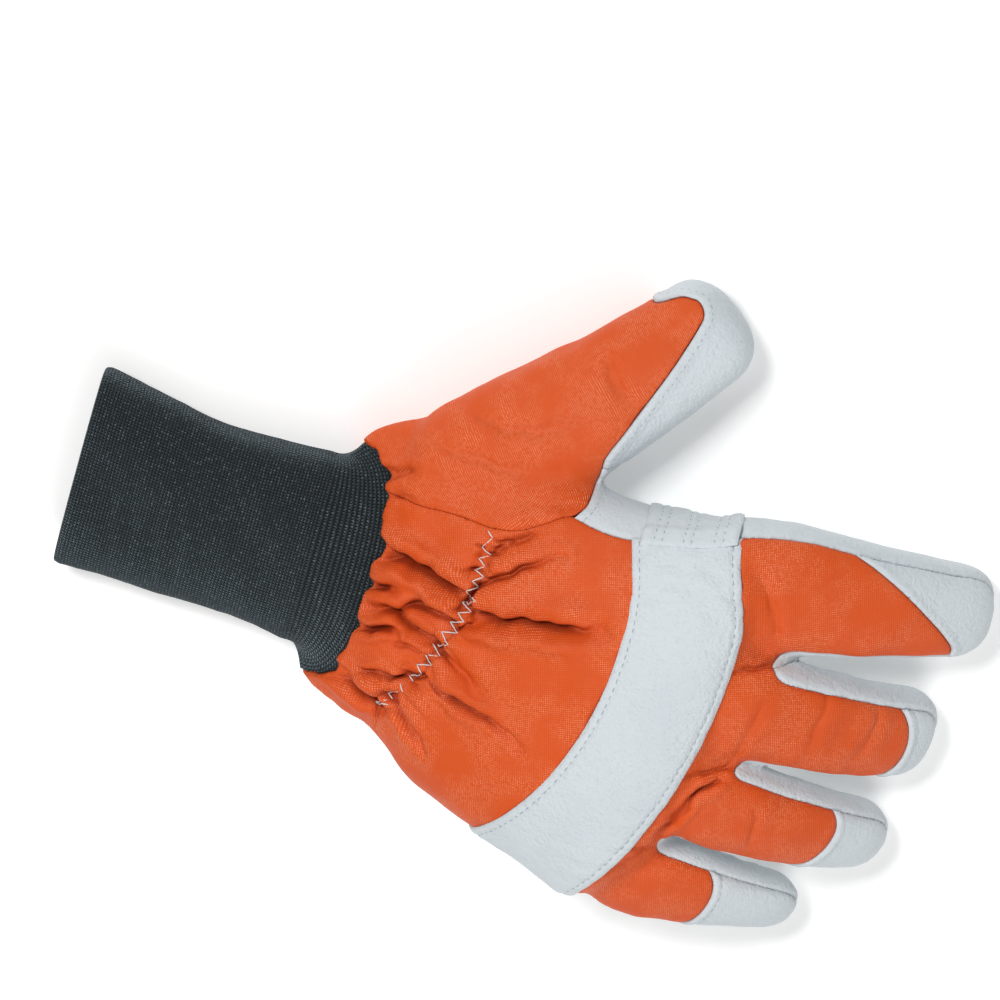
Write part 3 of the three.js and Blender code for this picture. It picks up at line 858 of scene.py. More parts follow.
@dataclass
class PanelPattern:
    """Where the panels end: each value is above 0 inside its panel and about a distance in millimetres.

    The strap's edges are upright discs, given by their foremost place as shares of the hand's length and half
    width, and their radius. The crotches are rows of Y and of the X where the cloth between the fingers ends.
    """

    form: GloveForm
    thumb_split: float = 17
    strap_near: tuple[float, float, float] = (0.688, 0.21, 132)
    strap_far: tuple[float, float, float] = (0.958, 0.323, 190)
    strap_middle: tuple[float, float, float] = (0.823, 0.2665, 161)
    patch_start: float = 0.667
    patch_width: float = 30.5
    patch_end: float = -28
    finger_start: float = 0.12
    index_side: float = 0.2
    corner: float = 2.6
    corner_reach: float = 6
    strap_corner: tuple[float, float] = (2.5, 5.2)
    crotches: tuple[tuple[float, float], ...] = (
        (-95, 106), (-52, 119), (-32, 123.5), (-15, 125.5), (14, 138), (24, 139), (60, 139),
    )

    def disc(self, points: np.ndarray, apex: tuple[float, float, float]) -> np.ndarray:
        """How far places lie inside an upright disc whose edge passes through its apex."""
        x = self.form.wrist_x + apex[0] * self.form.hand_length - apex[2]
        y = apex[1] * self.form.hand_width / 2
        return apex[2] - np.hypot(points[:, 0] - x, points[:, 1] - y)

    def outline(self, points: np.ndarray, rows: np.ndarray, times: int = 2) -> np.ndarray:
        """How far places lie inside an outline given in shares."""
        along = self.form.wrist_x + rows[:, 0] * self.form.hand_length
        corners = np.column_stack([along, rows[:, 1] * (self.form.hand_width / 2)])
        return outline_reach(points[:, 0], points[:, 1], rounded(corners, times))

    def digit_place(self, digit: Digit, points: np.ndarray) -> tuple[np.ndarray, ...]:
        """Places in a digit's own terms.

        Args:
            digit: The digit.
            points: The places.

        Returns:
            Share along, distance to the thumb side, height, half width, half depth.
        """
        shares = np.linspace(-0.15, 1.05, 97)
        centre, forward, side, up = self.form.axis(digit, shares)
        nearest = np.zeros(len(points), int)
        for start in range(0, len(points), 20000):
            some = points[start : start + 20000]
            away = ((some[:, None, :] - centre[None]) ** 2).sum(-1)
            nearest[start : start + 20000] = away.argmin(1)
        off = points - centre[nearest]
        share = shares[nearest] + (off * forward[nearest]).sum(1) / digit.length
        half, deep = self.form.digit_size(digit, share)
        return share, (off * side[nearest]).sum(1), (off * up[nearest]).sum(1), half, deep

    def mark(self, skin: Skin) -> None:
        """Writes every panel's value to the skin.

        Args:
            skin: The whole glove.
        """
        p, form = skin.points, self.form
        top, under = self.outline(p, THUMB_TOP, 1), self.outline(p, THUMB_UNDER)
        blend = smooth((p[:, 2] - self.thumb_split + 4) / 8)
        skin.values["thumb"] = top * blend + under * (1 - blend)
        along = (p[:, 0] - form.wrist_x) / form.hand_length
        size = form.hand_size(np.clip(along / 0.957, 0, 1))
        rise = size["top"] - size["widest"]
        right, left = size["middle"] + size["half"] * 0.97, size["middle"] - size["half"] - 10
        floor = size["widest"] + rise * (-0.1 + (size["seam"] + 0.1) * (p[:, 1] - left) / (right - left))
        end = np.interp(p[:, 1], *np.array(self.crotches).T)
        back = np.minimum.reduce([p[:, 2] - floor, right - p[:, 1], end - p[:, 0]])
        cap = np.full(len(p), OUTSIDE)
        owner, closest = np.zeros(len(p), int), np.full(len(p), 9.0)
        for number, (name, digit) in enumerate(DIGITS.items()):
            share, side, height, half, deep = self.digit_place(digit, p)
            round_about = np.hypot(side / half, height / deep)
            near = (round_about < closest) & (share > 0)
            closest = np.where(near, round_about, closest)
            owner = np.where(near & (round_about < 1.3), number + 1, owner)
            skin.values["share_" + name] = share
            if name == "thumb":
                continue
            margin = half + 0.8
            across = (side + margin) / (2 * margin)
            level = deep * (digit.seam[1] + (digit.seam[0] - digit.seam[1]) * across)
            if name == "index":
                level += deep * self.index_side * smooth((across - 0.6) / 0.4)
            ahead = (share - self.finger_start) * digit.length
            mine = np.minimum.reduce([height - level, ahead, margin - np.abs(side)])
            back = np.maximum(back, np.where((share > 0) & (share < 1.04), mine, OUTSIDE))
            part = np.clip(across, 0, 1)
            bow = 4 * digit.bulge * part * (1 - part)
            start = digit.cap[1] + (digit.cap[0] - digit.cap[1]) * part + bow
            slant = math.hypot(1, (digit.cap[1] - digit.cap[0]) * digit.length / digit.width)
            mine_too = (share - start) * digit.length / slant
            cap = np.where((owner == number + 1) | ((round_about < 1.5) & (share > 0.4)), mine_too, cap)
        radial = smooth((p[:, 1] - 16) / 8) * smooth((p[:, 0] - 92) / 8) * (1 - smooth((p[:, 0] - 136) / 8))
        roots = sum(np.exp(-(np.hypot(p[:, 0] - x, p[:, 1] - y) / 6) ** 2) for x, y in FINGER_ROOTS)
        back = skin.evened(back, 60, np.maximum(radial, np.clip(roots, 0, 1)))
        skin.values["back"] = back
        skin.values["cap"] = cap + self.corner * (1 - np.clip(back / self.corner_reach, 0, 1)) ** 2
        skin.values["owner"] = owner.astype(float)
        drawn_in = smooth((p[:, 1] - 25) / 30)
        skin.values["strap_near"] = self.disc(p, self.strap_near) - self.strap_corner[0] * drawn_in
        skin.values["strap_far"] = self.disc(p, self.strap_far) - self.strap_corner[1] * drawn_in
        skin.values["strap_middle"] = self.disc(p, self.strap_middle)
        skin.values["middle_ring"] = self.outline(p, MIDDLE_RING)
        skin.values["thumb_front"] = self.outline(p, THUMB_FRONT)
        start_x = form.wrist_x + self.patch_start * form.hand_length
        skin.values["patch"] = np.minimum.reduce(
            [p[:, 0] - start_x, start_x + self.patch_width - p[:, 0], p[:, 1] - self.patch_end]
        )
        wrist = form.hand_size(0.0)
        lift = np.clip((p[:, 2] - wrist["widest"]) / (wrist["top"] - wrist["widest"]), 0, 1)
        skin.values["wrist"] = p[:, 0] - form.wrist_x - form.lead(0.0, lift) + 0.5 * ripple(p, 9, 4)


@dataclass(frozen=True)
class Fold:
    """One valley in the cloth or leather, as a line of places seen from above, with puffed sides.

    Args:
        depth: Of the valley in its middle.
        width: From its bottom to where it starts to rise.
        line: Places (x, v) along it.
        fade_in: Share of its length over which it gets deeper.
        fade_out: Share of its length over which it runs out.
        lean: How much more one lip is drawn over it than the other.
    """

    depth: float
    width: float
    line: tuple[tuple[float, float], ...]
    fade_in: float = 0.15
    fade_out: float = 0.3
    lean: float = 0.0

    def move(self, x: np.ndarray, y: np.ndarray) -> tuple[np.ndarray, np.ndarray]:
        """How the surface moves at places.

        Args:
            x: First coordinate of the places.
            y: Second coordinate of the places.

        Returns:
            The move outwards, below 0 in the valley, and the move across the valley in X and Y.
        """
        line = np.array(self.line)
        steps = np.hypot(*np.diff(line, axis=0).T)
        run = np.concatenate([[0], np.cumsum(steps)])
        best, at = np.full(len(x), 1e9), np.zeros(len(x))
        off = np.zeros((len(x), 2))
        for i, (a, b) in enumerate(zip(line[:-1], line[1:])):
            way = b - a
            t = np.clip(((x - a[0]) * way[0] + (y - a[1]) * way[1]) / (way @ way), 0, 1)
            step = np.column_stack([x - a[0] - t * way[0], y - a[1] - t * way[1]])
            away = np.hypot(step[:, 0], step[:, 1])
            nearer = away < best
            best = np.where(nearer, away, best)
            off[nearer] = step[nearer]
            at = np.where(nearer, (run[i] + t * steps[i]) / run[-1], at)
        opening, closing = smooth(at / self.fade_in), smooth((1 - at) / self.fade_out)
        strength = 0.35 + 0.65 * opening * closing
        r = best / self.width
        lift = self.depth * strength * (0.45 * np.exp(-(((r - 2.0) / 1.0) ** 2)) - np.exp(-(r**1.4)))
        mean = (line[-1] - line[0]) / np.linalg.norm(line[-1] - line[0])
        side = np.sign(off @ np.array([-mean[1], mean[0]]))
        pull = 0.28 * strength * np.exp(-(((r - 1.0) / 0.7) ** 2)) * (1 + self.lean * side)
        return lift, -off * pull[:, None]


BACK_FOLDS = (
    Fold(
        depth=6.6, width=2.5, fade_in=0.02, fade_out=0.3, lean=0.8,
        line=(
            (2.0, 4.2), (5.6, 3.9), (10.9, 4.5), (17.3, 3.6), (22.6, 2.4), (29.3, 0.3), (34.2, -1.7),
            (37.8, -3.7),
        ),
    ),
    Fold(
        depth=2.6, width=1.6, fade_in=0.1, fade_out=0.6,
        line=(
            (37.8, -3.7), (41.6, 2.3), (45.2, 4.6), (49.7, 8.3), (53.0, 11.7), (57.0, 14.7),
            (64.9, 19.4),
        ),
    ),
    Fold(2.4, 3.0, ((41.0, 13.0), (43.6, 14.5), (46.6, 19.0), (51.2, 22.2), (55.7, 25.9))),
    Fold(1.0, 1.1, ((34.3, 6.3), (38.6, 6.3), (42.3, 6.2), (45.2, 8.8))),
    Fold(
        depth=5.2, width=3.0, fade_in=0.2, fade_out=0.35, lean=0.8,
        line=(
            (37.0, -7.0), (44.2, -6.8), (51.1, -7.3), (59.7, -5.4), (68.6, -4.4), (77.4, -2.8),
            (84.0, -1.2),
        ),
    ),
    Fold(1.6, 3.4, ((48.3, -4.4), (58.6, -1.4), (67.7, -1.2)), fade_in=0.3, fade_out=0.5),
    Fold(2.2, 1.3, ((38.0, -14.6), (42.7, -12.1), (46.7, -9.3)), fade_in=0.05),
    Fold(3.2, 1.6, ((1.0, -8.8), (5.4, -8.4), (10.0, -7.4), (14.6, -6.9)), fade_in=0.02),
    Fold(
        depth=3.8, width=1.7, fade_in=0.25, fade_out=0.2, lean=0.7,
        line=(
            (9.5, -14.0), (14.2, -13.2), (17.8, -13.1), (22.2, -15.5), (25.8, -17.6), (30.4, -18.7),
            (34.7, -23.0),
        ),
    ),
    Fold(
        depth=2.6, width=1.6, fade_in=0.2, fade_out=0.2,
        line=(
            (17.6, -12.5), (20.0, -10.0), (23.9, -8.6), (28.3, -9.2), (33.2, -11.2), (36.4, -13.4),
        ),
    ),
    Fold(3.4, 1.6, ((1.0, -23.6), (5.2, -22.6), (10.5, -21.7), (14.2, -19.7), (19.7, -18.0)), fade_in=0.02),
    Fold(1.5, 2.2, ((18.7, -22.7), (23.6, -22.5), (29.5, -23.6))),
    Fold(2.4, 1.5, ((8.3, -36.3), (16.1, -35.1), (22.0, -34.0), (26.7, -33.3), (31.7, -31.5)), fade_in=0.3),
    Fold(
        depth=3.0, width=1.6, fade_in=0.05, fade_out=0.6, lean=0.6,
        line=(
            (30.1, -31.2), (35.4, -33.8), (40.9, -35.9), (47.7, -38.3), (54.2, -39.5), (61.0, -41.8),
            (68.6, -45.5),
        ),
    ),
    Fold(2.0, 2.0, ((26.2, -34.6), (31.8, -36.1), (36.5, -37.8), (40.6, -40.8)), fade_in=0.1),
    Fold(
        depth=2.8, width=1.5, fade_in=0.05, fade_out=0.4,
        line=(
            (18.0, -39.8), (24.1, -41.4), (26.9, -44.8), (31.8, -49.0), (38.2, -55.8),
        ),
    ),
    Fold(
        depth=4.4, width=1.9, fade_in=0.02,
        line=(
            (-3.0, -36.6), (1.1, -38.1), (5.0, -39.1), (8.4, -40.3), (12.1, -42.3), (17.4, -43.9),
            (22.6, -46.2),
        ),
    ),
    Fold(2.2, 2.6, ((34.6, -23.2), (40.2, -25.1), (44.6, -27.5), (51.2, -33.0)), fade_in=0.1, fade_out=0.5),
    Fold(1.8, 1.4, ((30.0, -26.6), (34.8, -29.7), (38.3, -32.8)), fade_in=0.1),
    Fold(1.2, 1.2, ((18.2, -42.5), (19.7, -46.3), (21.6, -51.6)), fade_in=0.1),
    Fold(2.4, 1.7, ((0.0, 27.2), (5.9, 30.7), (10.1, 32.6)), fade_in=0.05),
    Fold(0.9, 1.4, ((3.7, 22.5), (11.5, 23.7), (14.5, 23.3)), fade_in=0.05),
    Fold(
        depth=2.3, width=4.4,
        line=(
            (39.5, 18.0), (39.8, 9.0), (39.3, 0.0), (37.8, -9.0), (34.0, -19.0), (29.6, -30.0),
            (23.0, -41.0), (19.0, -48.0),
        ),
    ),
    Fold(
        depth=0.6, width=2.2, fade_in=0.05, fade_out=0.6,
        line=(
            (139.7, 12.7), (134.7, 24.6), (129.2, 30.1), (125.2, 32.9),
        ),
    ),
    Fold(1.3, 1.4, ((141.6, 4.2), (134.3, 1.3), (127.8, -2.0)), fade_in=0.02, fade_out=0.6),
    Fold(0.5, 1.8, ((136.9, -29.9), (139.2, -21.4), (141.9, -8.8))),
    Fold(0.5, 2.0, ((161.7, 1.7), (161.5, -11.0), (160.0, -24.5))),
    Fold(0.6, 2.0, ((178.7, 2.2), (180.0, -9.7), (175.2, -22.5))),
    Fold(1.2, 1.4, ((136.0, -32.3), (129.4, -36.8), (120.4, -39.4)), fade_in=0.02, fade_out=0.6),
    Fold(
        depth=1.7, width=1.3, fade_in=0.02, fade_out=0.05,
        line=(
            (135.8, -36.4), (129.5, -43.6), (125.6, -50.7), (120.4, -61.4),
        ),
    ),
    Fold(
        depth=1.1, width=1.3, fade_in=0.02, fade_out=0.5,
        line=(
            (122.3, -61.0), (116.9, -67.3), (112.6, -73.0), (104.2, -78.6),
        ),
    ),
    Fold(0.7, 1.3, ((117.5, -66.0), (109.0, -66.4)), fade_in=0.05, fade_out=0.5),
    Fold(0.5, 1.6, ((149.9, -43.4), (151.2, -60.1))),
    Fold(0.7, 3.0, ((60.0, 86.0), (66.0, 78.0), (74.0, 71.0))),
    Fold(0.8, 3.4, ((22.0, 58.0), (34.0, 54.0), (46.0, 56.0), (56.0, 62.0))),
    Fold(0.7, 3.0, ((14.0, 45.0), (26.0, 42.0), (40.0, 41.0), (54.0, 44.0)), fade_in=0.1, fade_out=0.6),
    Fold(0.9, 3.6, ((50.0, 33.0), (60.0, 35.0), (70.0, 40.0)), fade_in=0.3, fade_out=0.6),
)
PALM_FOLDS = (
    Fold(1.6, 2.2, ((-2.0, 6.0), (10.0, 8.0), (24.0, 6.0), (36.0, 10.0)), fade_in=0.05),
    Fold(1.4, 2.0, ((-6.0, -8.0), (8.0, -10.0), (20.0, -6.0)), fade_in=0.05),
    Fold(1.5, 2.0, ((-8.0, -22.0), (6.0, -24.0), (18.0, -30.0), (28.0, -32.0)), fade_in=0.05),
    Fold(1.4, 2.2, ((-4.0, -34.0), (8.0, -40.0), (22.0, -44.0)), fade_in=0.05),
    Fold(1.5, 2.0, ((-2.0, 22.0), (10.0, 26.0), (24.0, 30.0)), fade_in=0.05),
    Fold(1.8, 3.4, ((30.0, 4.0), (44.0, 14.0), (60.0, 26.0), (78.0, 36.0))),
    Fold(1.2, 2.6, ((40.0, -20.0), (56.0, -12.0), (74.0, -4.0))),
    Fold(1.0, 2.4, ((36.0, -46.0), (54.0, -50.0), (74.0, -48.0))),
    Fold(1.4, 2.4, ((76.0, -70.0), (82.0, -40.0), (84.0, -8.0), (84.0, 20.0))),
    Fold(1.2, 2.0, ((122.0, 44.0), (124.0, 30.0), (122.0, 14.0))),
    Fold(1.2, 2.0, ((128.0, 2.0), (130.0, -14.0), (128.0, -28.0))),
    Fold(1.2, 2.0, ((124.0, -34.0), (124.0, -48.0), (120.0, -60.0))),
    Fold(1.0, 1.8, ((112.0, -68.0), (114.0, -80.0), (110.0, -92.0))),
    Fold(1.1, 2.0, ((158.0, 44.0), (160.0, 30.0), (158.0, 18.0))),
    Fold(1.1, 2.0, ((164.0, 2.0), (166.0, -12.0), (164.0, -24.0))),
    Fold(1.1, 2.0, ((152.0, -34.0), (154.0, -48.0), (150.0, -62.0))),
    Fold(1.2, 2.4, ((30.0, 70.0), (44.0, 62.0), (58.0, 58.0))),
)
ZIGZAG = (
    (38.8, 20.5), (41.0, 18.7), (38.3, 14.7), (42.1, 13.0), (38.3, 11.0), (41.1, 8.9), (38.1, 6.9),
    (41.8, 5.4), (38.3, 3.1), (41.1, 1.8), (37.4, -0.5), (41.4, -3.0), (37.1, -4.5), (40.9, -6.9),
    (36.6, -8.2), (39.5, -10.6), (35.1, -11.9), (38.5, -14.7), (33.2, -15.8), (36.6, -19.4),
    (31.5, -20.5), (35.0, -23.8), (30.3, -24.6), (33.2, -27.4), (28.3, -28.5), (31.0, -31.4),
    (26.9, -32.9), (28.8, -34.5), (24.8, -36.3), (26.4, -38.7), (21.4, -40.3), (23.7, -42.1),
    (18.5, -44.4), (22.9, -44.3),
)


@dataclass
class Drape:
    """Folds, gathers and unevenness of the cloth and leather."""

    pleat_depth: float = 0.9
    pleat_length: float = 6
    unevenness: float = 0.3
    wrist_floor: float = 0.3
    wrist_slope: float = 0.85
    wrist_puff: float = 1.7
    gather_puff: float = 0.9
    ground: float = 0.05

    def pleats(self) -> list[Fold]:
        """Short pleats that the elastic pulls in at each of its stitches.

        Returns:
            The pleats.
        """
        rng = np.random.default_rng(7)
        made = []
        for i, (x, v) in enumerate(ZIGZAG[1:-1]):
            reach = self.pleat_length * rng.uniform(0.6, 1.3)
            way = -1 if i % 2 else 1
            skew = rng.uniform(-0.35, 0.25) - 0.012 * (20 - v)
            line = ((x - way * 0.6, v), (x + way * reach, v + skew * reach * way))
            made.append(Fold(self.pleat_depth * rng.uniform(0.5, 1.3), 0.75, line, 0.05, 0.8))
        return made

    def apply(self, skin: Skin, side: Side, amount: float = 1.0) -> None:
        """Moves a panel's points along their normals into its folds.

        Args:
            skin: The panel, with the normals of the whole glove in its values.
            side: Which face of the glove the panel belongs to.
            amount: Share of the folds' depth.
        """
        p, n = skin.points, skin.values["normal"]
        move = self.unevenness * (ripple(p, 26, 11) + 0.45 * ripple(p, 11, 12))
        across = np.zeros((len(p), 3))
        if side is Side.BACK:
            shown = smooth((n @ TO_CAMERA - 0.02) / 0.3)
            v = p[:, 1] * math.cos(TILT) - p[:, 2] * math.sin(TILT)
            x, v = p[:, 0] + 0.5 * ripple(p, 8, 13), v + 0.5 * ripple(p, 8, 14)
            moves = [fold.move(x, v) for fold in (*BACK_FOLDS, *self.pleats())]
        else:
            shown = smooth((-n[:, 2] - 0.1) / 0.4) * (smooth((p[:, 2] - 0.2) / 6) * 0.75 + 0.25)
            moves = [fold.move(p[:, 0], p[:, 1]) for fold in PALM_FOLDS]
        move = move + shown * sum(m[0] for m in moves) * amount
        across[:, :2] = shown[:, None] * sum(m[1] for m in moves) * amount
        wrist = np.maximum(skin.values["wrist"], 0)
        across *= smooth(wrist / 3)[:, None]
        if side is Side.BACK:
            ridge = 1 - np.clip(-move / 1.2, 0, 1)
            across[:, 0] -= self.wrist_puff * ridge * (1 - smooth(wrist / 8)) * shown
            move = move + self.gather_puff * shown * smooth(wrist / 7) * (1 - smooth((wrist - 16) / 16))
        move = np.maximum(move, -self.wrist_floor - self.wrist_slope * wrist)
        across -= n * (across * n).sum(1)[:, None]
        skin.points = p + n * move[:, None] + across
        skin.points[:, 2] = np.maximum(skin.points[:, 2], self.ground)


def linear(code: str) -> tuple[float, float, float, float]:
    """A screen colour such as DE5A26 as the renderer's own values.

    Args:
        code: Six hex digits.

    Returns:
        Red, green, blue and alpha.
    """
    parts = [int(code[i : i + 2], 16) / 255 for i in (0, 2, 4)]
    r, g, b = (c / 12.92 if c <= 0.04045 else ((c + 0.055) / 1.055) ** 2.4 for c in parts)
    return r, g, b, 1.0


class Shader:
    """A material's node tree, built a node at a time."""

    def __init__(self, name: str) -> None:
        """Starts a material with its shader and output.

        Args:
            name: The material's name.
        """
        self.material = bpy.data.materials.new(name)
        self.material.use_nodes = True
        self.tree = self.material.node_tree
        self.tree.nodes.clear()
        self.out = self.add("ShaderNodeOutputMaterial")
        self.surface = self.add("ShaderNodeBsdfPrincipled")
        self.link(self.surface.outputs["BSDF"], self.out.inputs["Surface"])

    def add(self, kind: str, **settings: object) -> bpy.types.Node:
        """Adds a node with its settings.

        Args:
            kind: The node's type.
            settings: Its settings by name.

        Returns:
            The node.
        """
        node = self.tree.nodes.new(kind)
        for key, value in settings.items():
            setattr(node, key, value)
        return node

    def link(self, source: Socket, target: Socket) -> None:
        """Joins two sockets."""
        self.tree.links.new(source, target)

    def math(self, operation: str, *inputs: object) -> Socket:
        """One sum of sockets or numbers, as its result.

        Args:
            operation: The sum.
            inputs: Sockets or numbers.

        Returns:
            The result.
        """
        node = self.add("ShaderNodeMath", operation=operation)
        for i, value in enumerate(inputs):
            if isinstance(value, (int, float)):
                node.inputs[i].default_value = value
            else:
                self.link(value, node.inputs[i])
        return node.outputs[0]

    def step(self, value: object, low: float, high: float) -> Socket:
        """A smooth step of a value from 0 at low to 1 at high.

        Args:
            value: The value.
            low: Where it starts.
            high: Where it ends.

        Returns:
            The step.
        """
        node = self.add("ShaderNodeMapRange", interpolation_type="SMOOTHSTEP")
        self.link(value, node.inputs["Value"])
        node.inputs["From Min"].default_value = low
        node.inputs["From Max"].default_value = high
        return node.outputs["Result"]

    def noise(self, place: Socket, scale: float, detail: float = 3, rough: float = 0.55) -> Socket:
        """Noise at a place.

        Args:
            place: Coordinates.
            scale: Its fineness.
            detail: Number of finer layers.
            rough: Their strength.

        Returns:
            The noise, from 0 to 1.
        """
        node = self.add("ShaderNodeTexNoise")
        self.link(place, node.inputs["Vector"])
        node.inputs["Scale"].default_value = scale
        node.inputs["Detail"].default_value = detail
        node.inputs["Roughness"].default_value = rough
        return node.outputs["Fac"]

    def mix(self, share: object, a: object, b: object) -> Socket:
        """Mix of two colours or colour sockets.

        Args:
            share: Share of the second.
            a: The first.
            b: The second.

        Returns:
            The mix.
        """
        node = self.add("ShaderNodeMix", data_type="RGBA")
        for value, key in ((share, 0), (a, 6), (b, 7)):
            if isinstance(value, (int, float, tuple)):
                node.inputs[key].default_value = value
            else:
                self.link(value, node.inputs[key])
        return node.outputs[2]

    def place(self) -> Socket:
        """Object coordinates, in metres."""
        return self.add("ShaderNodeTexCoord").outputs["Object"]

    def lay(self) -> tuple[Socket, Socket]:
        """Millimetres along and across the cloth, from the piece's own map.

        Returns:
            The two distances.
        """
        node = self.add("ShaderNodeUVMap", uv_map="lay")
        parts = self.add("ShaderNodeSeparateXYZ")
        self.link(node.outputs["UV"], parts.inputs[0])
        return parts.outputs[0], parts.outputs[1]

    def shade_share(self, distance: float, open_share: float, closed_share: float) -> Socket:
        """How deep a place lies in a valley or seam, from 0 to 1, read from ambient occlusion; it sets how
        much painted shade goes into a colour.

        Args:
            distance: How far the walls of the valley are looked for, in metres.
            open_share: Share of free sky that still counts as open.
            closed_share: Share of free sky that counts as fully closed.
        """
        sky = self.add("ShaderNodeAmbientOcclusion", samples=8)
        sky.inputs["Distance"].default_value = distance
        return self.step(sky.outputs["AO"], open_share, closed_share)

    def bump(
        self, height: Socket, distance: float, strength: float = 1.0, under: Socket | None = None
    ) -> Socket:
        """Relief from a height between 0 and 1.

        Args:
            height: The height.
            distance: Its size in metres.
            strength: How much of it shows.
            under: Relief that it is added to.

        Returns:
            The normal.
        """
        node = self.add("ShaderNodeBump")
        node.inputs["Strength"].default_value = strength
        node.inputs["Distance"].default_value = distance
        self.link(height, node.inputs["Height"])
        if under is not None:
            self.link(under, node.inputs["Normal"])
        return node.outputs["Normal"]

    def finish(self, colour: object, normal: object, **sockets: object) -> Material:
        """Sets the shader's colour, relief and plain sockets, and gives the material.

        Args:
            colour: Its colour.
            normal: Its relief or None.
            sockets: The plain sockets.

        Returns:
            The material.
        """
        if isinstance(colour, tuple):
            self.surface.inputs["Base Color"].default_value = colour
        else:
            self.link(colour, self.surface.inputs["Base Color"])
        if normal is not None:
            self.link(normal, self.surface.inputs["Normal"])
        for key, value in sockets.items():
            self.surface.inputs[key.replace("_", " ").title().replace("Ior", "IOR")].default_value = value
        return self.material


@dataclass(frozen=True)
class ClothFinish:
    """Satin work cloth in signal orange, with light flecks on the tops of its weave that are partly weave and
    partly painted sheen, and painted shade in its folds.
    """

    base: str = "D9541C"
    deep: str = "A93714"
    # Colour of the flecks on the weave's tops, partly a painted sheen.
    sheen_fleck: str = "F7A57C"
    # Colour of the painted shade in fold valleys and seams.
    valley: str = "8A2A10"
    thread: float = 0.64

    def material(self) -> Material:
        """The cloth's material.

        Returns:
            The material.
        """
        s = Shader("orange_cloth")
        u, v = s.lay()
        place = s.place()
        warp = s.math("SINE", s.math("MULTIPLY", u, 2 * math.pi / self.thread))
        weft = s.math("SINE", s.math("MULTIPLY", v, 2 * math.pi / self.thread))
        height = s.math("ADD", s.math("MULTIPLY", s.math("ADD", warp, weft), 0.25), 0.5)
        # Painted sheen: light flecks on the tops of the weave, shown in noise patches, stand in for the
        # satin's sheen.
        sheen_patches = s.step(s.noise(place, 70, 3), 0.36, 0.62)
        fine = s.step(s.noise(place, 900, 1), 0.3, 0.6)
        sheen_fleck = s.math("MULTIPLY", s.math("MULTIPLY", s.step(height, 0.62, 0.95), sheen_patches), fine)
        broad = s.step(s.noise(place, 24, 2), 0.3, 0.7)
        base = s.mix(s.math("MULTIPLY", broad, 0.3), linear(self.base), linear("E05C27"))
        base = s.mix(s.math("MULTIPLY", s.step(height, 0.35, 0.05), 0.5), base, linear(self.deep))
        colour = s.mix(s.math("MULTIPLY", sheen_fleck, 0.9), base, linear(self.sheen_fleck))
        # Painted shade: the colour darkens towards 8A2A10 where ambient occlusion finds the cloth shut in, in
        # fold valleys and seams.
        colour = s.mix(s.math("MULTIPLY", s.shade_share(0.005, 0.82, 0.3), 0.85), colour, linear(self.valley))
        relief = s.bump(height, 0.00016, 0.7)
        relief = s.bump(s.noise(place, 420, 3), 0.0002, 0.4, relief)
        return s.finish(
            colour, relief, roughness=0.52, specular_ior_level=0.22, sheen_weight=0.04, sheen_roughness=0.3,
            sheen_tint=linear("FFA070"),
        )


@dataclass(frozen=True)
class LeatherFinish:
    """Soft grain leather, a cool off-white, with painted shade in its seams and creases."""

    name: str = "grain_leather"
    base: str = "CED5D9"
    shade: str = "C4CCD2"
    grain: float = 1.2

    def material(self) -> Material:
        """The leather's material.

        Returns:
            The material.
        """
        s = Shader(self.name)
        place = s.place()
        cell = s.add("ShaderNodeTexVoronoi", feature="SMOOTH_F1")
        s.link(place, cell.inputs["Vector"])
        cell.inputs["Scale"].default_value = 950
        cell.inputs["Smoothness"].default_value = 0.6
        pebble = s.math("SUBTRACT", 1.0, cell.outputs["Distance"])
        stretch = s.add("ShaderNodeMapping")
        stretch.inputs["Rotation"].default_value = (0.3, 0.2, 0.5)
        stretch.inputs["Scale"].default_value = (1.0, 1.5, 1.2)
        s.link(place, stretch.inputs["Vector"])
        wrinkle = s.noise(stretch.outputs["Vector"], 330, 4, 0.6)
        cloudy = s.step(s.noise(place, 30, 3), 0.3, 0.75)
        pores = s.step(s.noise(place, 1500, 2), 0.62, 0.8)
        base = s.mix(s.math("MULTIPLY", cloudy, 0.5), linear(self.base), linear(self.shade))
        colour = s.mix(s.math("MULTIPLY", pores, 0.4), base, linear("A9B2BB"))
        # Painted shade: the colour darkens towards 8A949C where ambient occlusion finds the leather shut in,
        # in seams and creases.
        colour = s.mix(s.math("MULTIPLY", s.shade_share(0.003, 0.6, 0.2), 0.4), colour, linear("8A949C"))
        relief = s.bump(pebble, 0.00026, 0.7 * self.grain)
        relief = s.bump(wrinkle, 0.0007, 0.6 * self.grain, relief)
        relief = s.bump(s.noise(place, 60, 3), 0.0016, 0.35, relief)
        return s.finish(
            colour, relief, roughness=0.62, specular_ior_level=0.32, sheen_weight=0.08, sheen_roughness=0.5
        )


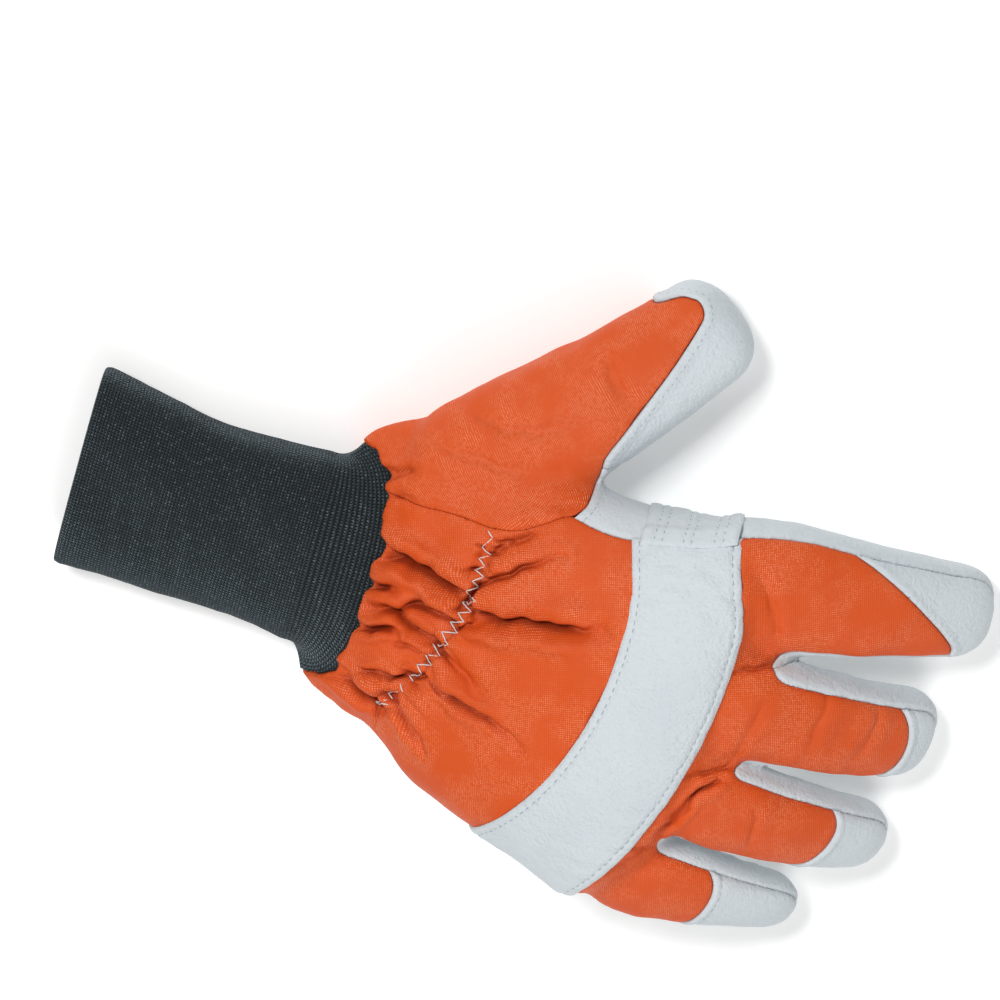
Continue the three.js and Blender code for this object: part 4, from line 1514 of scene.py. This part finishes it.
@dataclass(frozen=True)
class KnitFinish:
    """Close stocking-stitch knit in charcoal, with a light bloom at its edges."""

    dark: str = "0E1315"
    light: str = "68767C"
    column: float = 1.25
    row: float = 1.1

    def material(self) -> Material:
        """The knit's material.

        Returns:
            The material.
        """
        s = Shader("charcoal_knit")
        u, v = s.lay()
        place = s.place()
        wobble = s.math("MULTIPLY", s.math("SUBTRACT", s.noise(place, 260, 2), 0.5), 0.5)
        across = s.math("ADD", s.math("DIVIDE", v, self.column), wobble)
        tri = s.math("ABSOLUTE", s.math("SUBTRACT", s.math("MULTIPLY", s.math("FRACT", across), 2.0), 1.0))
        rows = s.math("ADD", s.math("DIVIDE", u, self.row), s.math("MULTIPLY", tri, 0.55))
        wave = s.math("SINE", s.math("MULTIPLY", rows, 2 * math.pi))
        loop = s.math("ADD", s.math("MULTIPLY", wave, 0.5), 0.5)
        height = s.math("MULTIPLY", loop, s.math("SUBTRACT", 1.0, s.math("POWER", tri, 3.0)))
        lint = s.step(s.noise(place, 800, 2), 0.5, 0.72)
        bloom = s.math("ADD", s.math("MULTIPLY", lint, 0.75), 0.25)
        tone = s.math("MULTIPLY", s.step(height, 0.3, 0.95), bloom)
        base = s.mix(tone, linear(self.dark), linear(self.light))
        relief = s.bump(height, 0.0005, 0.8)
        relief = s.bump(s.noise(place, 1400, 2), 0.0003, 0.4, relief)
        return s.finish(
            base, relief, roughness=0.9, specular_ior_level=0.2, sheen_weight=0.55, sheen_roughness=0.45,
            sheen_tint=linear("9FB0B8"),
        )


@dataclass(frozen=True)
class ThreadFinish:
    """Sewing thread."""

    name: str
    colour: str

    def material(self) -> Material:
        """The thread's material.

        Returns:
            The material.
        """
        s = Shader(self.name)
        twist = s.noise(s.place(), 2600, 2)
        colour = s.mix(s.math("MULTIPLY", twist, 0.5), linear(self.colour), linear("8C979F"))
        return s.finish(colour, s.bump(twist, 0.0001, 0.6), roughness=0.6, sheen_weight=0.2)


@dataclass(frozen=True)
class PaperFinish:
    """Pale studio floor."""

    colour: str = "F7F7F6"
    glow: float = 0.22

    def material(self) -> Material:
        """The floor's material.

        Returns:
            The material.
        """
        s = Shader("studio_paper")
        tone = s.mix(s.noise(s.place(), 3, 2), linear(self.colour), linear("FAFAF9"))
        glow = linear(self.colour)
        return s.finish(
            tone, None, roughness=0.9, specular_ior_level=0.1,
            emission_color=glow, emission_strength=self.glow,
        )


def dress(obj: Piece, material: Material, nodes: tuple[str, ...] = ()) -> Piece:
    """Gives a piece its material and body, and hides the CAD nodes that it stands for.

    Args:
        obj: The piece.
        material: Its finish.
        nodes: CAD nodes that it replaces.

    Returns:
        The same piece.
    """
    obj.data.materials.clear()
    obj.data.materials.append(material)
    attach(obj, "root")
    if nodes:
        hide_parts(*nodes)
    log.info("%s: %d faces", obj.name, len(obj.data.polygons))
    return obj


def sewn_piece(name: str, skin: Skin, lay: np.ndarray, thickness: float, ground: float = 0.01) -> Piece:
    """Object with a thickness from a panel's outer face.

    Args:
        name: Its name.
        skin: Its outer face.
        lay: Millimetres along and across the cloth at each point.
        thickness: Thickness, inwards.
        ground: Lowest height of the inner face.

    Returns:
        The object.
    """
    count = len(skin.points)
    at_rim = skin.tris[skin.touching(skin.border())].tolist()
    directed = {(a, b) for tri in at_rim for a, b in zip(tri, tri[1:] + tri[:1])}
    rim = np.array([(a, b) if (a, b) in directed else (b, a) for a, b in skin.border().tolist()])
    rim_faces = np.vstack(
        [
            np.column_stack([rim[:, 1], rim[:, 0], rim[:, 0] + count]),
            np.column_stack([rim[:, 1], rim[:, 0] + count, rim[:, 1] + count]),
        ]
    )
    inner = skin.points - skin.values["normal"] * thickness
    inner[:, 2] = np.maximum(inner[:, 2], ground)
    tris = np.vstack([skin.tris, skin.tris[:, ::-1] + count, rim_faces])
    obj = new_object(name, np.vstack([skin.points, inner]), tris)
    uv = obj.data.uv_layers.new(name="lay")
    corners = np.empty(len(obj.data.loops), np.int32)
    obj.data.loops.foreach_get("vertex_index", corners)
    uv.data.foreach_set("uv", np.vstack([lay, lay])[corners].astype(np.float32).ravel())
    select_only(obj)
    bpy.ops.object.shade_smooth()
    return obj


@dataclass
class SewingKit:
    """Stitches: one is modelled and copied along a line."""

    length: float = 1.9
    pitch: float = 3.0
    radius: float = 0.3
    sunk: float = 0.12

    def stitch(self) -> tuple[np.ndarray, np.ndarray]:
        """One stitch along X with a rounded back, as points and triangles of unit size.

        Returns:
            Its points and triangles.
        """
        bpy.ops.object.select_all(action="DESELECT")
        bpy.ops.mesh.primitive_uv_sphere_add(segments=6, ring_count=5, radius=1)
        made = bpy.context.object
        bpy.ops.object.mode_set(mode="EDIT")
        bpy.ops.mesh.select_all(action="SELECT")
        bpy.ops.transform.rotate(value=math.pi / 2, orient_axis="Y", center_override=(0, 0, 0))
        bpy.ops.mesh.quads_convert_to_tris()
        bpy.ops.object.mode_set(mode="OBJECT")
        points = np.array([v.co for v in made.data.vertices])
        tris = np.array([list(p.vertices) for p in made.data.polygons])
        mesh = made.data
        bpy.data.objects.remove(made)
        bpy.data.meshes.remove(mesh)
        points[:, 0] = np.sign(points[:, 0]) * np.abs(points[:, 0]) ** 0.6
        return points, tris

    def row(self, name: str, lines: list[Line], material: Material) -> Piece | None:
        """A run of stitches along lines on the surface.

        Args:
            name: Name of the piece.
            lines: Places and normals of each line.
            material: The thread.

        Returns:
            The stitches as one object, or None where no line is long enough.
        """
        unit, tris = self.stitch()
        points, faces, rng = [], [], np.random.default_rng(len(name))
        for places, normals in lines:
            run = np.concatenate([[0], np.cumsum(np.linalg.norm(np.diff(places, axis=0), axis=1))])
            for at in np.arange(self.pitch * 0.7, run[-1] - self.pitch * 0.5, self.pitch):
                at += rng.uniform(-0.12, 0.12) * self.pitch
                centre, ahead, behind, up = (
                    np.array([np.interp(s, run, source[:, i]) for i in range(3)])
                    for s, source in ((at, places), (at + 0.7, places), (at - 0.7, places), (at, normals))
                )
                along = ahead - behind
                along /= max(np.linalg.norm(along), 1e-6)
                up = up - along * (up @ along)
                up /= max(np.linalg.norm(up), 1e-6)
                half = self.length * rng.uniform(0.9, 1.08) / 2
                shape = unit * [half, self.radius, self.radius * 0.75]
                frame_of = np.stack([along, np.cross(up, along), up])
                faces.append(tris + sum(len(x) for x in points))
                points.append(shape @ frame_of + centre - up * self.sunk)
        if not points:
            return None
        obj = new_object(name, np.vstack(points), np.vstack(faces))
        select_only(obj)
        bpy.ops.object.shade_smooth()
        return dress(obj, material)


@dataclass
class PanelShell:
    """The sewn panels of the glove: cloth back, leather palm, caps and thumb."""

    skin: Skin
    thickness: float = 1.8
    seam_depth: float = 1.0
    seam_width: float = 2.6
    wrist_depth: float = 1.7
    wrist_width: float = 3.4
    fold_rise: float = 0.8
    ground: float = 0.02
    cloth_folds: float = 1.12
    cloth: tuple[str, ...] = ("hand_back", "finger_back", "thumb_back")
    panels: dict[str, Skin] = field(default_factory=dict)
    whole: Skin | None = None

    def cut_panels(self) -> None:
        """Cuts the skin into its panels."""
        glove, _ = self.skin.split("wrist")
        glove = glove.main_body()
        thumb, rest = glove.split("thumb")
        back, lower = rest.split("back")
        caps, plain = back.split("cap")
        hand, fingers = plain.split("strap_middle")
        front, palm = lower.split("middle_ring")
        thumb_front, palm = palm.split("thumb_front")
        self.panels = {
            "thumb_back": thumb.main_body(),
            "hand_back": hand.main_body(),
            "finger_back": fingers.main_body(),
            "middle_ring_front": front.main_body(),
            "thumb_front": thumb_front.main_body(),
            "palm_panel": palm.main_body(),
        }
        owner = caps.values["owner"][caps.tris].mean(1)
        for number, name in enumerate(("index", "middle", "ring", "little")):
            self.panels[name + "_cap"] = caps.keep(np.abs(owner - number - 1) < 0.5).main_body()
        self.whole = glove

    def lay(self, name: str, skin: Skin) -> np.ndarray:
        """Millimetres along and across the cloth of a panel.

        Args:
            name: The panel.
            skin: Its outer face.

        Returns:
            Two values for each point.
        """
        p = skin.points
        drop = 0.8 * (50 - p[:, 2])
        if name == "thumb_back":
            turn = math.radians(46)
            along = p[:, 0] * math.cos(turn) + p[:, 1] * math.sin(turn)
            across = -p[:, 0] * math.sin(turn) + p[:, 1] * math.cos(turn)
            return np.column_stack([along, across + drop * np.tanh((across - 12) / 14) * 0.8])
        across = p[:, 1] * math.cos(SPIN) - p[:, 0] * math.sin(SPIN) + drop * np.tanh((p[:, 1] + 10) / 40)
        return np.column_stack([p[:, 0] * math.cos(SPIN) + p[:, 1] * math.sin(SPIN), across])

    def shape(self, name: str, skin: Skin) -> Skin:
        """Folds a panel and rolls its edges in.

        Args:
            name: The panel.
            skin: Its flat outer face.

        Returns:
            The finished outer face.
        """
        cloth = name in self.cloth
        if cloth:
            skin = skin.refine()
            skin.relax(3)
        drape = Drape(unevenness=0.32 if cloth else 0.22)
        side = Side.BACK if cloth or name.endswith("_cap") else Side.PALM
        drape.apply(skin, side, self.cloth_folds if cloth else 1.0)
        skin.even_border(10 if cloth else 3)
        wrist = skin.reach(np.abs(skin.values["wrist"]) < ON_SEAM)
        thumb = skin.reach(np.abs(skin.values["thumb"]) < ON_SEAM)
        elsewhere = (np.abs(skin.values["wrist"]) >= ON_SEAM) & (np.abs(skin.values["thumb"]) >= ON_SEAM)
        other = skin.reach(elsewhere)

        def roll(reach: np.ndarray, depth: float, width: float) -> np.ndarray:
            """How far an edge is rolled in, as a quarter round."""
            t = np.clip(reach / width, 0, 1)
            return -depth * (1 - np.sqrt(1 - (1 - t) ** 2))

        move = roll(wrist, self.wrist_depth, self.wrist_width)
        move += roll(other, self.seam_depth, self.seam_width)
        leather_edge = name in ("thumb_front", "palm_panel")
        if leather_edge:
            move += np.where(thumb < 30, self.fold_rise * (1 - smooth((thumb - 2.4) / 2.2)), 0)
            move -= 0.35 * np.exp(-(((thumb - 2.7) / 0.55) ** 2))
            move -= 0.5 * np.clip(1 - thumb / 0.7, 0, 1) ** 2
        else:
            move += roll(thumb, 0.8, 2.2)
        if name.endswith("_cap"):
            edge = skin.reach(np.abs(skin.values["cap"]) < ON_SEAM)
            move += 0.6 * (1 - smooth((edge - 2.0) / 1.2)) - 0.35 * np.exp(-(((edge - 2.6) / 0.5) ** 2))
        skin.points = skin.points + skin.values["normal"] * move[:, None]
        skin.points[:, 2] = np.maximum(skin.points[:, 2], self.ground)
        return skin

    def build(self, cloth: Material, leather: Material) -> None:
        """Makes every panel.

        Args:
            cloth: Finish of the backs.
            leather: Finish of the rest.
        """
        self.cut_panels()
        for name, flat in self.panels.items():
            is_cloth = name in self.cloth
            lay = self.lay(name, flat.refine() if is_cloth else flat)
            skin = self.shape(name, flat)
            self.panels[name] = skin
            obj = sewn_piece(name + "_cloth" if is_cloth else name + "_leather", skin, lay, self.thickness)
            dress(obj, cloth if is_cloth else leather, (name,))


@dataclass
class KnuckleStrap:
    """Curved leather band across the knuckles, sewn down along both edges."""

    skin: Skin
    lift: float = 1.5
    thickness: float = 1.1
    stitch_inset: float = 2.7

    def build(self, leather: Material, thread: Material, kit: SewingKit) -> None:
        """Makes the band and its two rows of stitches.

        Args:
            leather: Its finish.
            thread: The stitches' finish.
            kit: What makes the stitches.
        """
        back, _ = self.skin.split("back")
        inside, _ = back.split("strap_far")
        _, band = inside.split("strap_near")
        band = band.cut("thumb").main_body().refine()
        band.relax(4)
        near, far = -band.values["strap_near"], band.values["strap_far"]
        edge = np.minimum(near, far)
        border = band.reach()
        n = band.values["normal"]
        slack = 0.12 + 0.3 * smooth((band.points[:, 1] - 22) / 24)
        creases = slack * ripple(band.points * (0.6, 1, 1), 7, 32)
        move = self.lift + 0.2 * ripple(band.points, 20, 31) + creases
        move -= 0.45 * np.exp(-(((edge - self.stitch_inset) / 0.6) ** 2))
        move -= 0.5 * np.clip(1 - border / 0.9, 0, 1) ** 2
        move -= 0.5 * np.clip(1 - edge / 2.2, 0, 1)
        band.points = band.points + n * move[:, None]
        lay = band.points[:, :2]
        obj = sewn_piece("knuckle_strap_leather", band, lay, self.thickness)
        dress(obj, leather, ("knuckle_strap",))
        kit.row("strap_stitches_near", band.contour(near, self.stitch_inset)[:1], thread)
        kit.row("strap_stitches_far", band.contour(far, self.stitch_inset)[:1], thread)


@dataclass
class GripPatch:
    """Reinforcement across the palm, quilted by double rows and wrapped up the thumb side."""

    skin: Skin
    lift: float = 1.4
    thickness: float = 1.2
    overlap: float = 1.8
    strap_step: float = 1.5
    ground: float = 0.02
    rows: tuple[float, ...] = (4.4, 7.0, 13.8, 16.4, 23.6, 26.2)

    def build(self, leather: Material, thread: Material, start: float) -> None:
        """Makes the patch and its rows of stitches.

        Args:
            leather: Its finish.
            thread: The stitches' finish.
            start: Its edge towards the wrist, along X.
        """
        self.skin.values["patch_side"] = self.skin.values["back"] - self.overlap
        _, lower = self.skin.split("patch_side")
        patch, _ = lower.split("patch")
        patch = patch.main_body().refine()
        patch.relax(4)
        patch.even_border(6)
        along = patch.points[:, 0] - start
        border = patch.reach()
        over_strap = smooth((patch.values["back"] + self.overlap + 3) / 3)
        move = self.lift + 0.12 * ripple(patch.points, 14, 41) + self.strap_step * over_strap
        row_dip = sum(np.exp(-(((along - row) / 0.7) ** 2)) for row in self.rows)
        move -= 0.45 * np.clip(row_dip, 0, 1) + 0.7 * np.clip(1 - border / 1.6, 0, 1) ** 2
        patch.points = patch.points + patch.values["normal"] * move[:, None]
        patch.points[:, 2] = np.maximum(patch.points[:, 2], self.ground)
        obj = sewn_piece("grip_patch_leather", patch, patch.points[:, :2], self.thickness)
        dress(obj, leather, ("grip_patch",))
        kit = SewingKit(length=1.2, pitch=2.9, radius=0.3)
        for number, row in enumerate(self.rows):
            kit.row(f"grip_patch_stitches_{number}", patch.contour(along, row)[:2], thread)


@dataclass
class ElasticZigzag:
    """White thread that holds the elastic in the back of the wrist."""

    radius: float = 0.24
    lift: float = 0.1
    sunk: float = 0.45
    sides: int = 6

    def build(self, panel: Skin, thread: Material) -> None:
        """Lays the thread on the finished cloth.

        Args:
            panel: The back of the hand.
            thread: Its finish.
        """
        tree = BVHTree.FromPolygons([Vector(p) for p in panel.points], panel.tris.tolist())

        def drop(x: float, v: float) -> Line | None:
            """Place and normal on the cloth under a place seen by the camera."""
            base = np.array([x, v / math.cos(TILT), 0]) + TO_CAMERA * 300
            hit, normal, _, _ = tree.ray_cast(Vector(base), Vector(-TO_CAMERA))
            return None if hit is None else (np.array(hit), np.array(normal))

        points, faces, rng = [], [], np.random.default_rng(5)
        for number, ((x0, v0), (x1, v1)) in enumerate(zip(ZIGZAG[:-1], ZIGZAG[1:])):
            found = [drop(x0 + (x1 - x0) * t, v0 + (v1 - v0) * t) for t in np.linspace(0, 1, 7)]
            if None in found:
                continue
            line = np.array([f[0] for f in found])
            up = np.array([f[1] for f in found])
            between = (line[:-2] + line[2:]) / 2 * [0, 0, 1] + line[1:-1] * [1, 1, 0]
            line[1:-1] = np.maximum(line[1:-1], between)
            buried = self.sunk * rng.uniform(0.2, 1) if number % 2 == 1 else 0
            lift = np.array([-0.4, 0.5, 1, 1, 1, 0.5, -0.4]) * self.lift + self.radius * 0.4 - buried
            thick = np.array([0.55, 0.9, 1, 1, 1, 0.9, 0.55]) * self.radius
            base = sum(len(p) for p in points)
            ring = []
            for i in range(7):
                along = line[min(i + 1, 6)] - line[max(i - 1, 0)]
                along /= np.linalg.norm(along)
                side = np.cross(up[i], along)
                side /= np.linalg.norm(side)
                out = np.cross(along, side)
                turn = np.linspace(0, 2 * math.pi, self.sides, endpoint=False)[:, None]
                centre = line[i] + up[i] * lift[i]
                ring.append(centre + thick[i] * (np.cos(turn) * side + np.sin(turn) * out))
            some, quads = closed_loft(ring)
            points.append(some)
            faces += [tuple(base + k for k in f) for f in quads]
        obj = new_object("elastic_zigzag", np.vstack(points), faces)
        select_only(obj)
        bpy.ops.object.shade_smooth()
        dress(obj, thread)


CUFF = np.array(
    [
        [0.0, 0.115, 1.0, 0.86], [0.02, 0.114, 1.03, 0.92],
        [0.25, 0.085, 0.965, 0.92], [0.5, 0.056, 0.92, 0.94],
        [0.72, 0.052, 0.935, 0.98], [0.85, 0.05, 0.98, 1.0],
    ]
)


@dataclass
class KnitCuff:
    """Knitted tube with a folded mouth, tucked into the wrist."""

    form: GloveForm
    length: float = 94
    width: float = 68
    height: float = 26
    wall: float = 2.4
    power: float = 2.5
    sink: float = 1.5
    ground: float = 0.02
    girth: float = 196
    tuck: float = 6
    tuck_dive: float = 3.5
    tuck_under: float = 2.4
    late: float = 2.2
    count: int = 240

    def ring(self, at: float, inset: float) -> np.ndarray:
        """Ring of the tube at a share of its length, inset from its outer face.

        Args:
            at: Share of the length.
            inset: How far inside the outer face.

        Returns:
            The ring.
        """
        middle, half, top = (through(CUFF, i, min(at, 0.85)) for i in (1, 2, 3))
        middle, half, top = middle * self.form.hand_width / 2, half * self.width / 2, top * self.height
        widest = (top - self.sink) / 2
        deep = widest + self.sink - inset
        upper = half_section(half - inset, top - inset - widest, 0, math.pi, self.count // 2, self.power)
        lower = half_section(half - inset, deep, math.pi, 2 * math.pi, self.count // 2, self.power)
        yz = np.vstack([upper, lower]) + [middle, widest]
        x = np.full(len(yz), self.form.wrist_x - self.length * (1 - at))
        return np.column_stack([x, yz[:, 0], np.maximum(yz[:, 1], inset + self.ground)])

    def tucked(self, along: float, inset: float) -> np.ndarray:
        """Ring inside the wrist at a share of the hand's length, deeper the further it reaches in.

        Args:
            along: Share of the hand's length.
            inset: How far inside the outer face.

        Returns:
            The ring.
        """
        size = self.form.hand_size(along)
        under = self.tuck_under + inset + along / self.tuck * self.form.hand_length * self.tuck_dive
        top, bottom = size["top"] - under, size["bottom"] + under
        half, high, deep = size["half"] - under, top - size["widest"], size["widest"] - bottom
        upper = half_section(half, high, 0, math.pi, self.count // 2, self.power)
        lower = half_section(half, deep, math.pi, 2 * math.pi, self.count // 2, self.power)
        yz = np.vstack([upper, lower]) + [size["middle"], size["widest"]]
        rise = np.maximum((yz[:, 1] - size["widest"]) / (top - size["widest"]), 0)
        x = self.form.wrist_x + along * self.form.hand_length + self.form.lead(along, rise)
        return np.column_stack([x, yz[:, 0], np.maximum(yz[:, 1], under)])

    def wall_rings(self, inset: float) -> list[np.ndarray]:
        """Rings of one face of the tube, from the mouth to the end of the tuck.

        Args:
            inset: How far inside the outer face.

        Returns:
            The rings.
        """
        rings = [self.ring(at, inset) for at in np.linspace(0.012, 0.87, 90)]
        last, seam = rings[-1], self.tucked(0.0, inset)
        for t in np.linspace(0, 1, 20)[1:-1]:
            share = np.array([t, t**self.late, t**self.late])
            rings.append(last * (1 - share) + seam * share)
        return [*rings, seam, self.tucked(self.tuck / self.form.hand_length, inset)]

    def build(self, knit: Material) -> None:
        """Makes the tube with its rolled mouth and its inner face.

        Args:
            knit: Its finish.
        """
        outer, inner = self.wall_rings(0.0), self.wall_rings(self.wall)
        mouth = []
        for angle in np.linspace(0, math.pi, 11)[1:-1]:
            share = (1 - math.cos(angle)) / 2
            out = outer[0] * (1 - share) + inner[0] * share
            mouth.append(out - [math.sin(angle) * self.wall / 2, 0, 0])
        rings = outer[::-1] + mouth + inner
        count, rows = self.count, len(rings)
        points = np.vstack(rings)
        faces = []
        for i in range(rows):
            after = (i + 1) % rows
            for k in range(count):
                n = (k + 1) % count
                faces.append((i * count + k, after * count + k, after * count + n, i * count + n))
        obj = new_object("knit_cuff_tube", points, faces)
        stack = points.reshape(rows, count, 3)
        run = np.concatenate([[0], np.cumsum(np.linalg.norm(np.diff(stack, axis=0), axis=2).mean(1))])
        step = self.girth / count
        uv = obj.data.uv_layers.new(name="lay")
        values = np.empty((len(obj.data.loops), 2), np.float32)
        loop = 0
        for i in range(rows):
            ends = (run[i], run[i + 1] if i + 1 < rows else run[i] + self.wall)
            for k in range(count):
                left, right = k * step, (k + 1) * step
                corners = ((ends[0], left), (ends[1], left), (ends[1], right), (ends[0], right))
                values[loop : loop + 4] = corners
                loop += 4
        uv.data.foreach_set("uv", values.ravel())
        self.settle(obj)
        select_only(obj)
        bpy.ops.object.mode_set(mode="EDIT")
        bpy.ops.mesh.select_all(action="SELECT")
        bpy.ops.mesh.normals_make_consistent(inside=False)
        bpy.ops.object.mode_set(mode="OBJECT")
        bpy.ops.object.shade_smooth()
        dress(obj, knit, ("knit_cuff",))

    def settle(self, obj: Piece) -> None:
        """Gives the tube the slack waves of a knit that has been laid down.

        Args:
            obj: The tube.
        """
        mesh = obj.data
        p = np.array([v.co for v in mesh.vertices]) * PER_METRE - SHIFT
        wave = 0.35 * ripple(p, 30, 51) + 0.15 * ripple(p * [1.6, 0.6, 0.6], 12, 52)
        hold = smooth((p[:, 2] - 1.0) / 5)
        p[:, 2] += wave * hold
        p[:, 1] += 0.25 * ripple(p, 28, 53)
        mesh.vertices.foreach_set("co", ((p + SHIFT) * MILLIMETRE).astype(np.float32).ravel())
        mesh.update()


@dataclass
class SeamStitching:
    """Rows of stitches beside the seams of the thumb and of the little finger's cap."""

    shell: PanelShell
    shortest: int = 12

    def build(self, thread: Material) -> None:
        """Sews the rows that show.

        Args:
            thread: The stitches' finish.
        """
        kit = SewingKit(length=1.5, pitch=2.5, radius=0.24)
        for name in ("thumb_front", "palm_panel"):
            panel = self.shell.panels[name]
            reach = panel.reach(np.abs(panel.values["thumb"]) < ON_SEAM)
            if reach.min() < 1:
                rows = [line for line in panel.contour(reach, 2.7) if len(line[0]) > self.shortest]
                kit.row(name + "_edge_stitches", rows, thread)
        panel = self.shell.panels["little_cap"]
        reach = panel.reach(np.abs(panel.values["cap"]) < ON_SEAM)
        kit.row("little_cap_stitches", panel.contour(reach, 2.8)[:1], thread)


@dataclass
class Studio:
    """Floor, lights and camera."""

    view_width: float = 0.33
    lens: float = 300
    sensor: float = 36
    far_end: float = 50
    floor_size: float = 12
    floor_gap: float = 0.0002
    sky: tuple[float, float, float, float] = (0.97, 0.985, 1.0, 1.0)
    sky_strength: float = 0.16
    middle: tuple[float, float, float] = (-0.01447, 0.0197, 0.025)

    def build(self, paper: Material) -> None:
        """Makes the studio.

        Args:
            paper: The floor's finish.
        """
        bpy.ops.object.select_all(action="DESELECT")
        bpy.ops.mesh.primitive_plane_add(size=self.floor_size, location=(0, 0, -self.floor_gap))
        floor = bpy.context.object
        floor.name = "floor"
        floor.data.materials.append(paper)
        world = bpy.data.worlds.new("studio")
        bpy.context.scene.world = world
        world.use_nodes = True
        world.node_tree.nodes["Background"].inputs["Color"].default_value = self.sky
        world.node_tree.nodes["Background"].inputs["Strength"].default_value = self.sky_strength
        self.light("key", (-1.0, 1.1, 2.1), 0.75, 46)
        self.light("top", (0.4, -0.5, 2.8), 2.0, 10)
        self.light("fill", (1.2, -1.9, 2.0), 1.8, 41)
        data = bpy.data.cameras.new("camera")
        data.lens = self.lens
        data.sensor_width = self.sensor
        data.clip_end = self.far_end
        camera = bpy.data.objects.new("camera", data)
        bpy.context.scene.collection.objects.link(camera)
        back = Vector(TO_CAMERA)
        tilted_y = Vector((0, math.cos(TILT), -math.sin(TILT)))
        right = Vector((math.cos(SPIN), 0, 0)) + tilted_y * math.sin(SPIN)
        up = Vector((-math.sin(SPIN), 0, 0)) + tilted_y * math.cos(SPIN)
        turn = Matrix((right, up, back)).transposed().to_4x4()
        distance = self.view_width / data.sensor_width * self.lens
        camera.matrix_world = Matrix.Translation(Vector(self.middle) + back * distance) @ turn
        bpy.context.scene.camera = camera
        bpy.context.scene.view_settings.view_transform = "Standard"

    def light(self, name: str, place: tuple[float, float, float], size: float, power: float) -> None:
        """A soft square light that faces the glove.

        Args:
            name: Its name.
            place: Where it stands.
            size: Length of its side.
            power: Its power.
        """
        data = bpy.data.lights.new(name, "AREA")
        data.size = size
        data.energy = power
        obj = bpy.data.objects.new(name, data)
        bpy.context.scene.collection.objects.link(obj)
        obj.location = place
        obj.rotation_euler = (-Vector(place)).to_track_quat("-Z", "Y").to_euler()


def main() -> None:
    """Builds the glove's sub-assemblies in order, then the studio."""
    logging.basicConfig(level=logging.INFO, format="%(name)s: %(message)s")
    cloth, leather, knit = ClothFinish().material(), LeatherFinish().material(), KnitFinish().material()
    strap_leather = LeatherFinish("strap_leather", "D0D7DB", "C6CED3", 1.5).material()
    grey_thread = ThreadFinish("grey_thread", "9AA6AF").material()
    white_thread = ThreadFinish("white_thread", "EFE9E4").material()
    form = GloveForm()
    skin = form.build()
    pattern = PanelPattern(form)
    pattern.mark(skin)
    skin.values["normal"] = skin.normals()
    shell = PanelShell(skin)
    shell.build(cloth, leather)
    KnuckleStrap(shell.whole).build(strap_leather, grey_thread, SewingKit())
    patch_x = form.wrist_x + pattern.patch_start * form.hand_length
    GripPatch(shell.whole).build(leather, grey_thread, patch_x)
    ElasticZigzag().build(shell.panels["hand_back"], white_thread)
    SeamStitching(shell).build(grey_thread)
    KnitCuff(form).build(knit)
    Studio().build(PaperFinish().material())


if __name__ == "__main__":
    main()
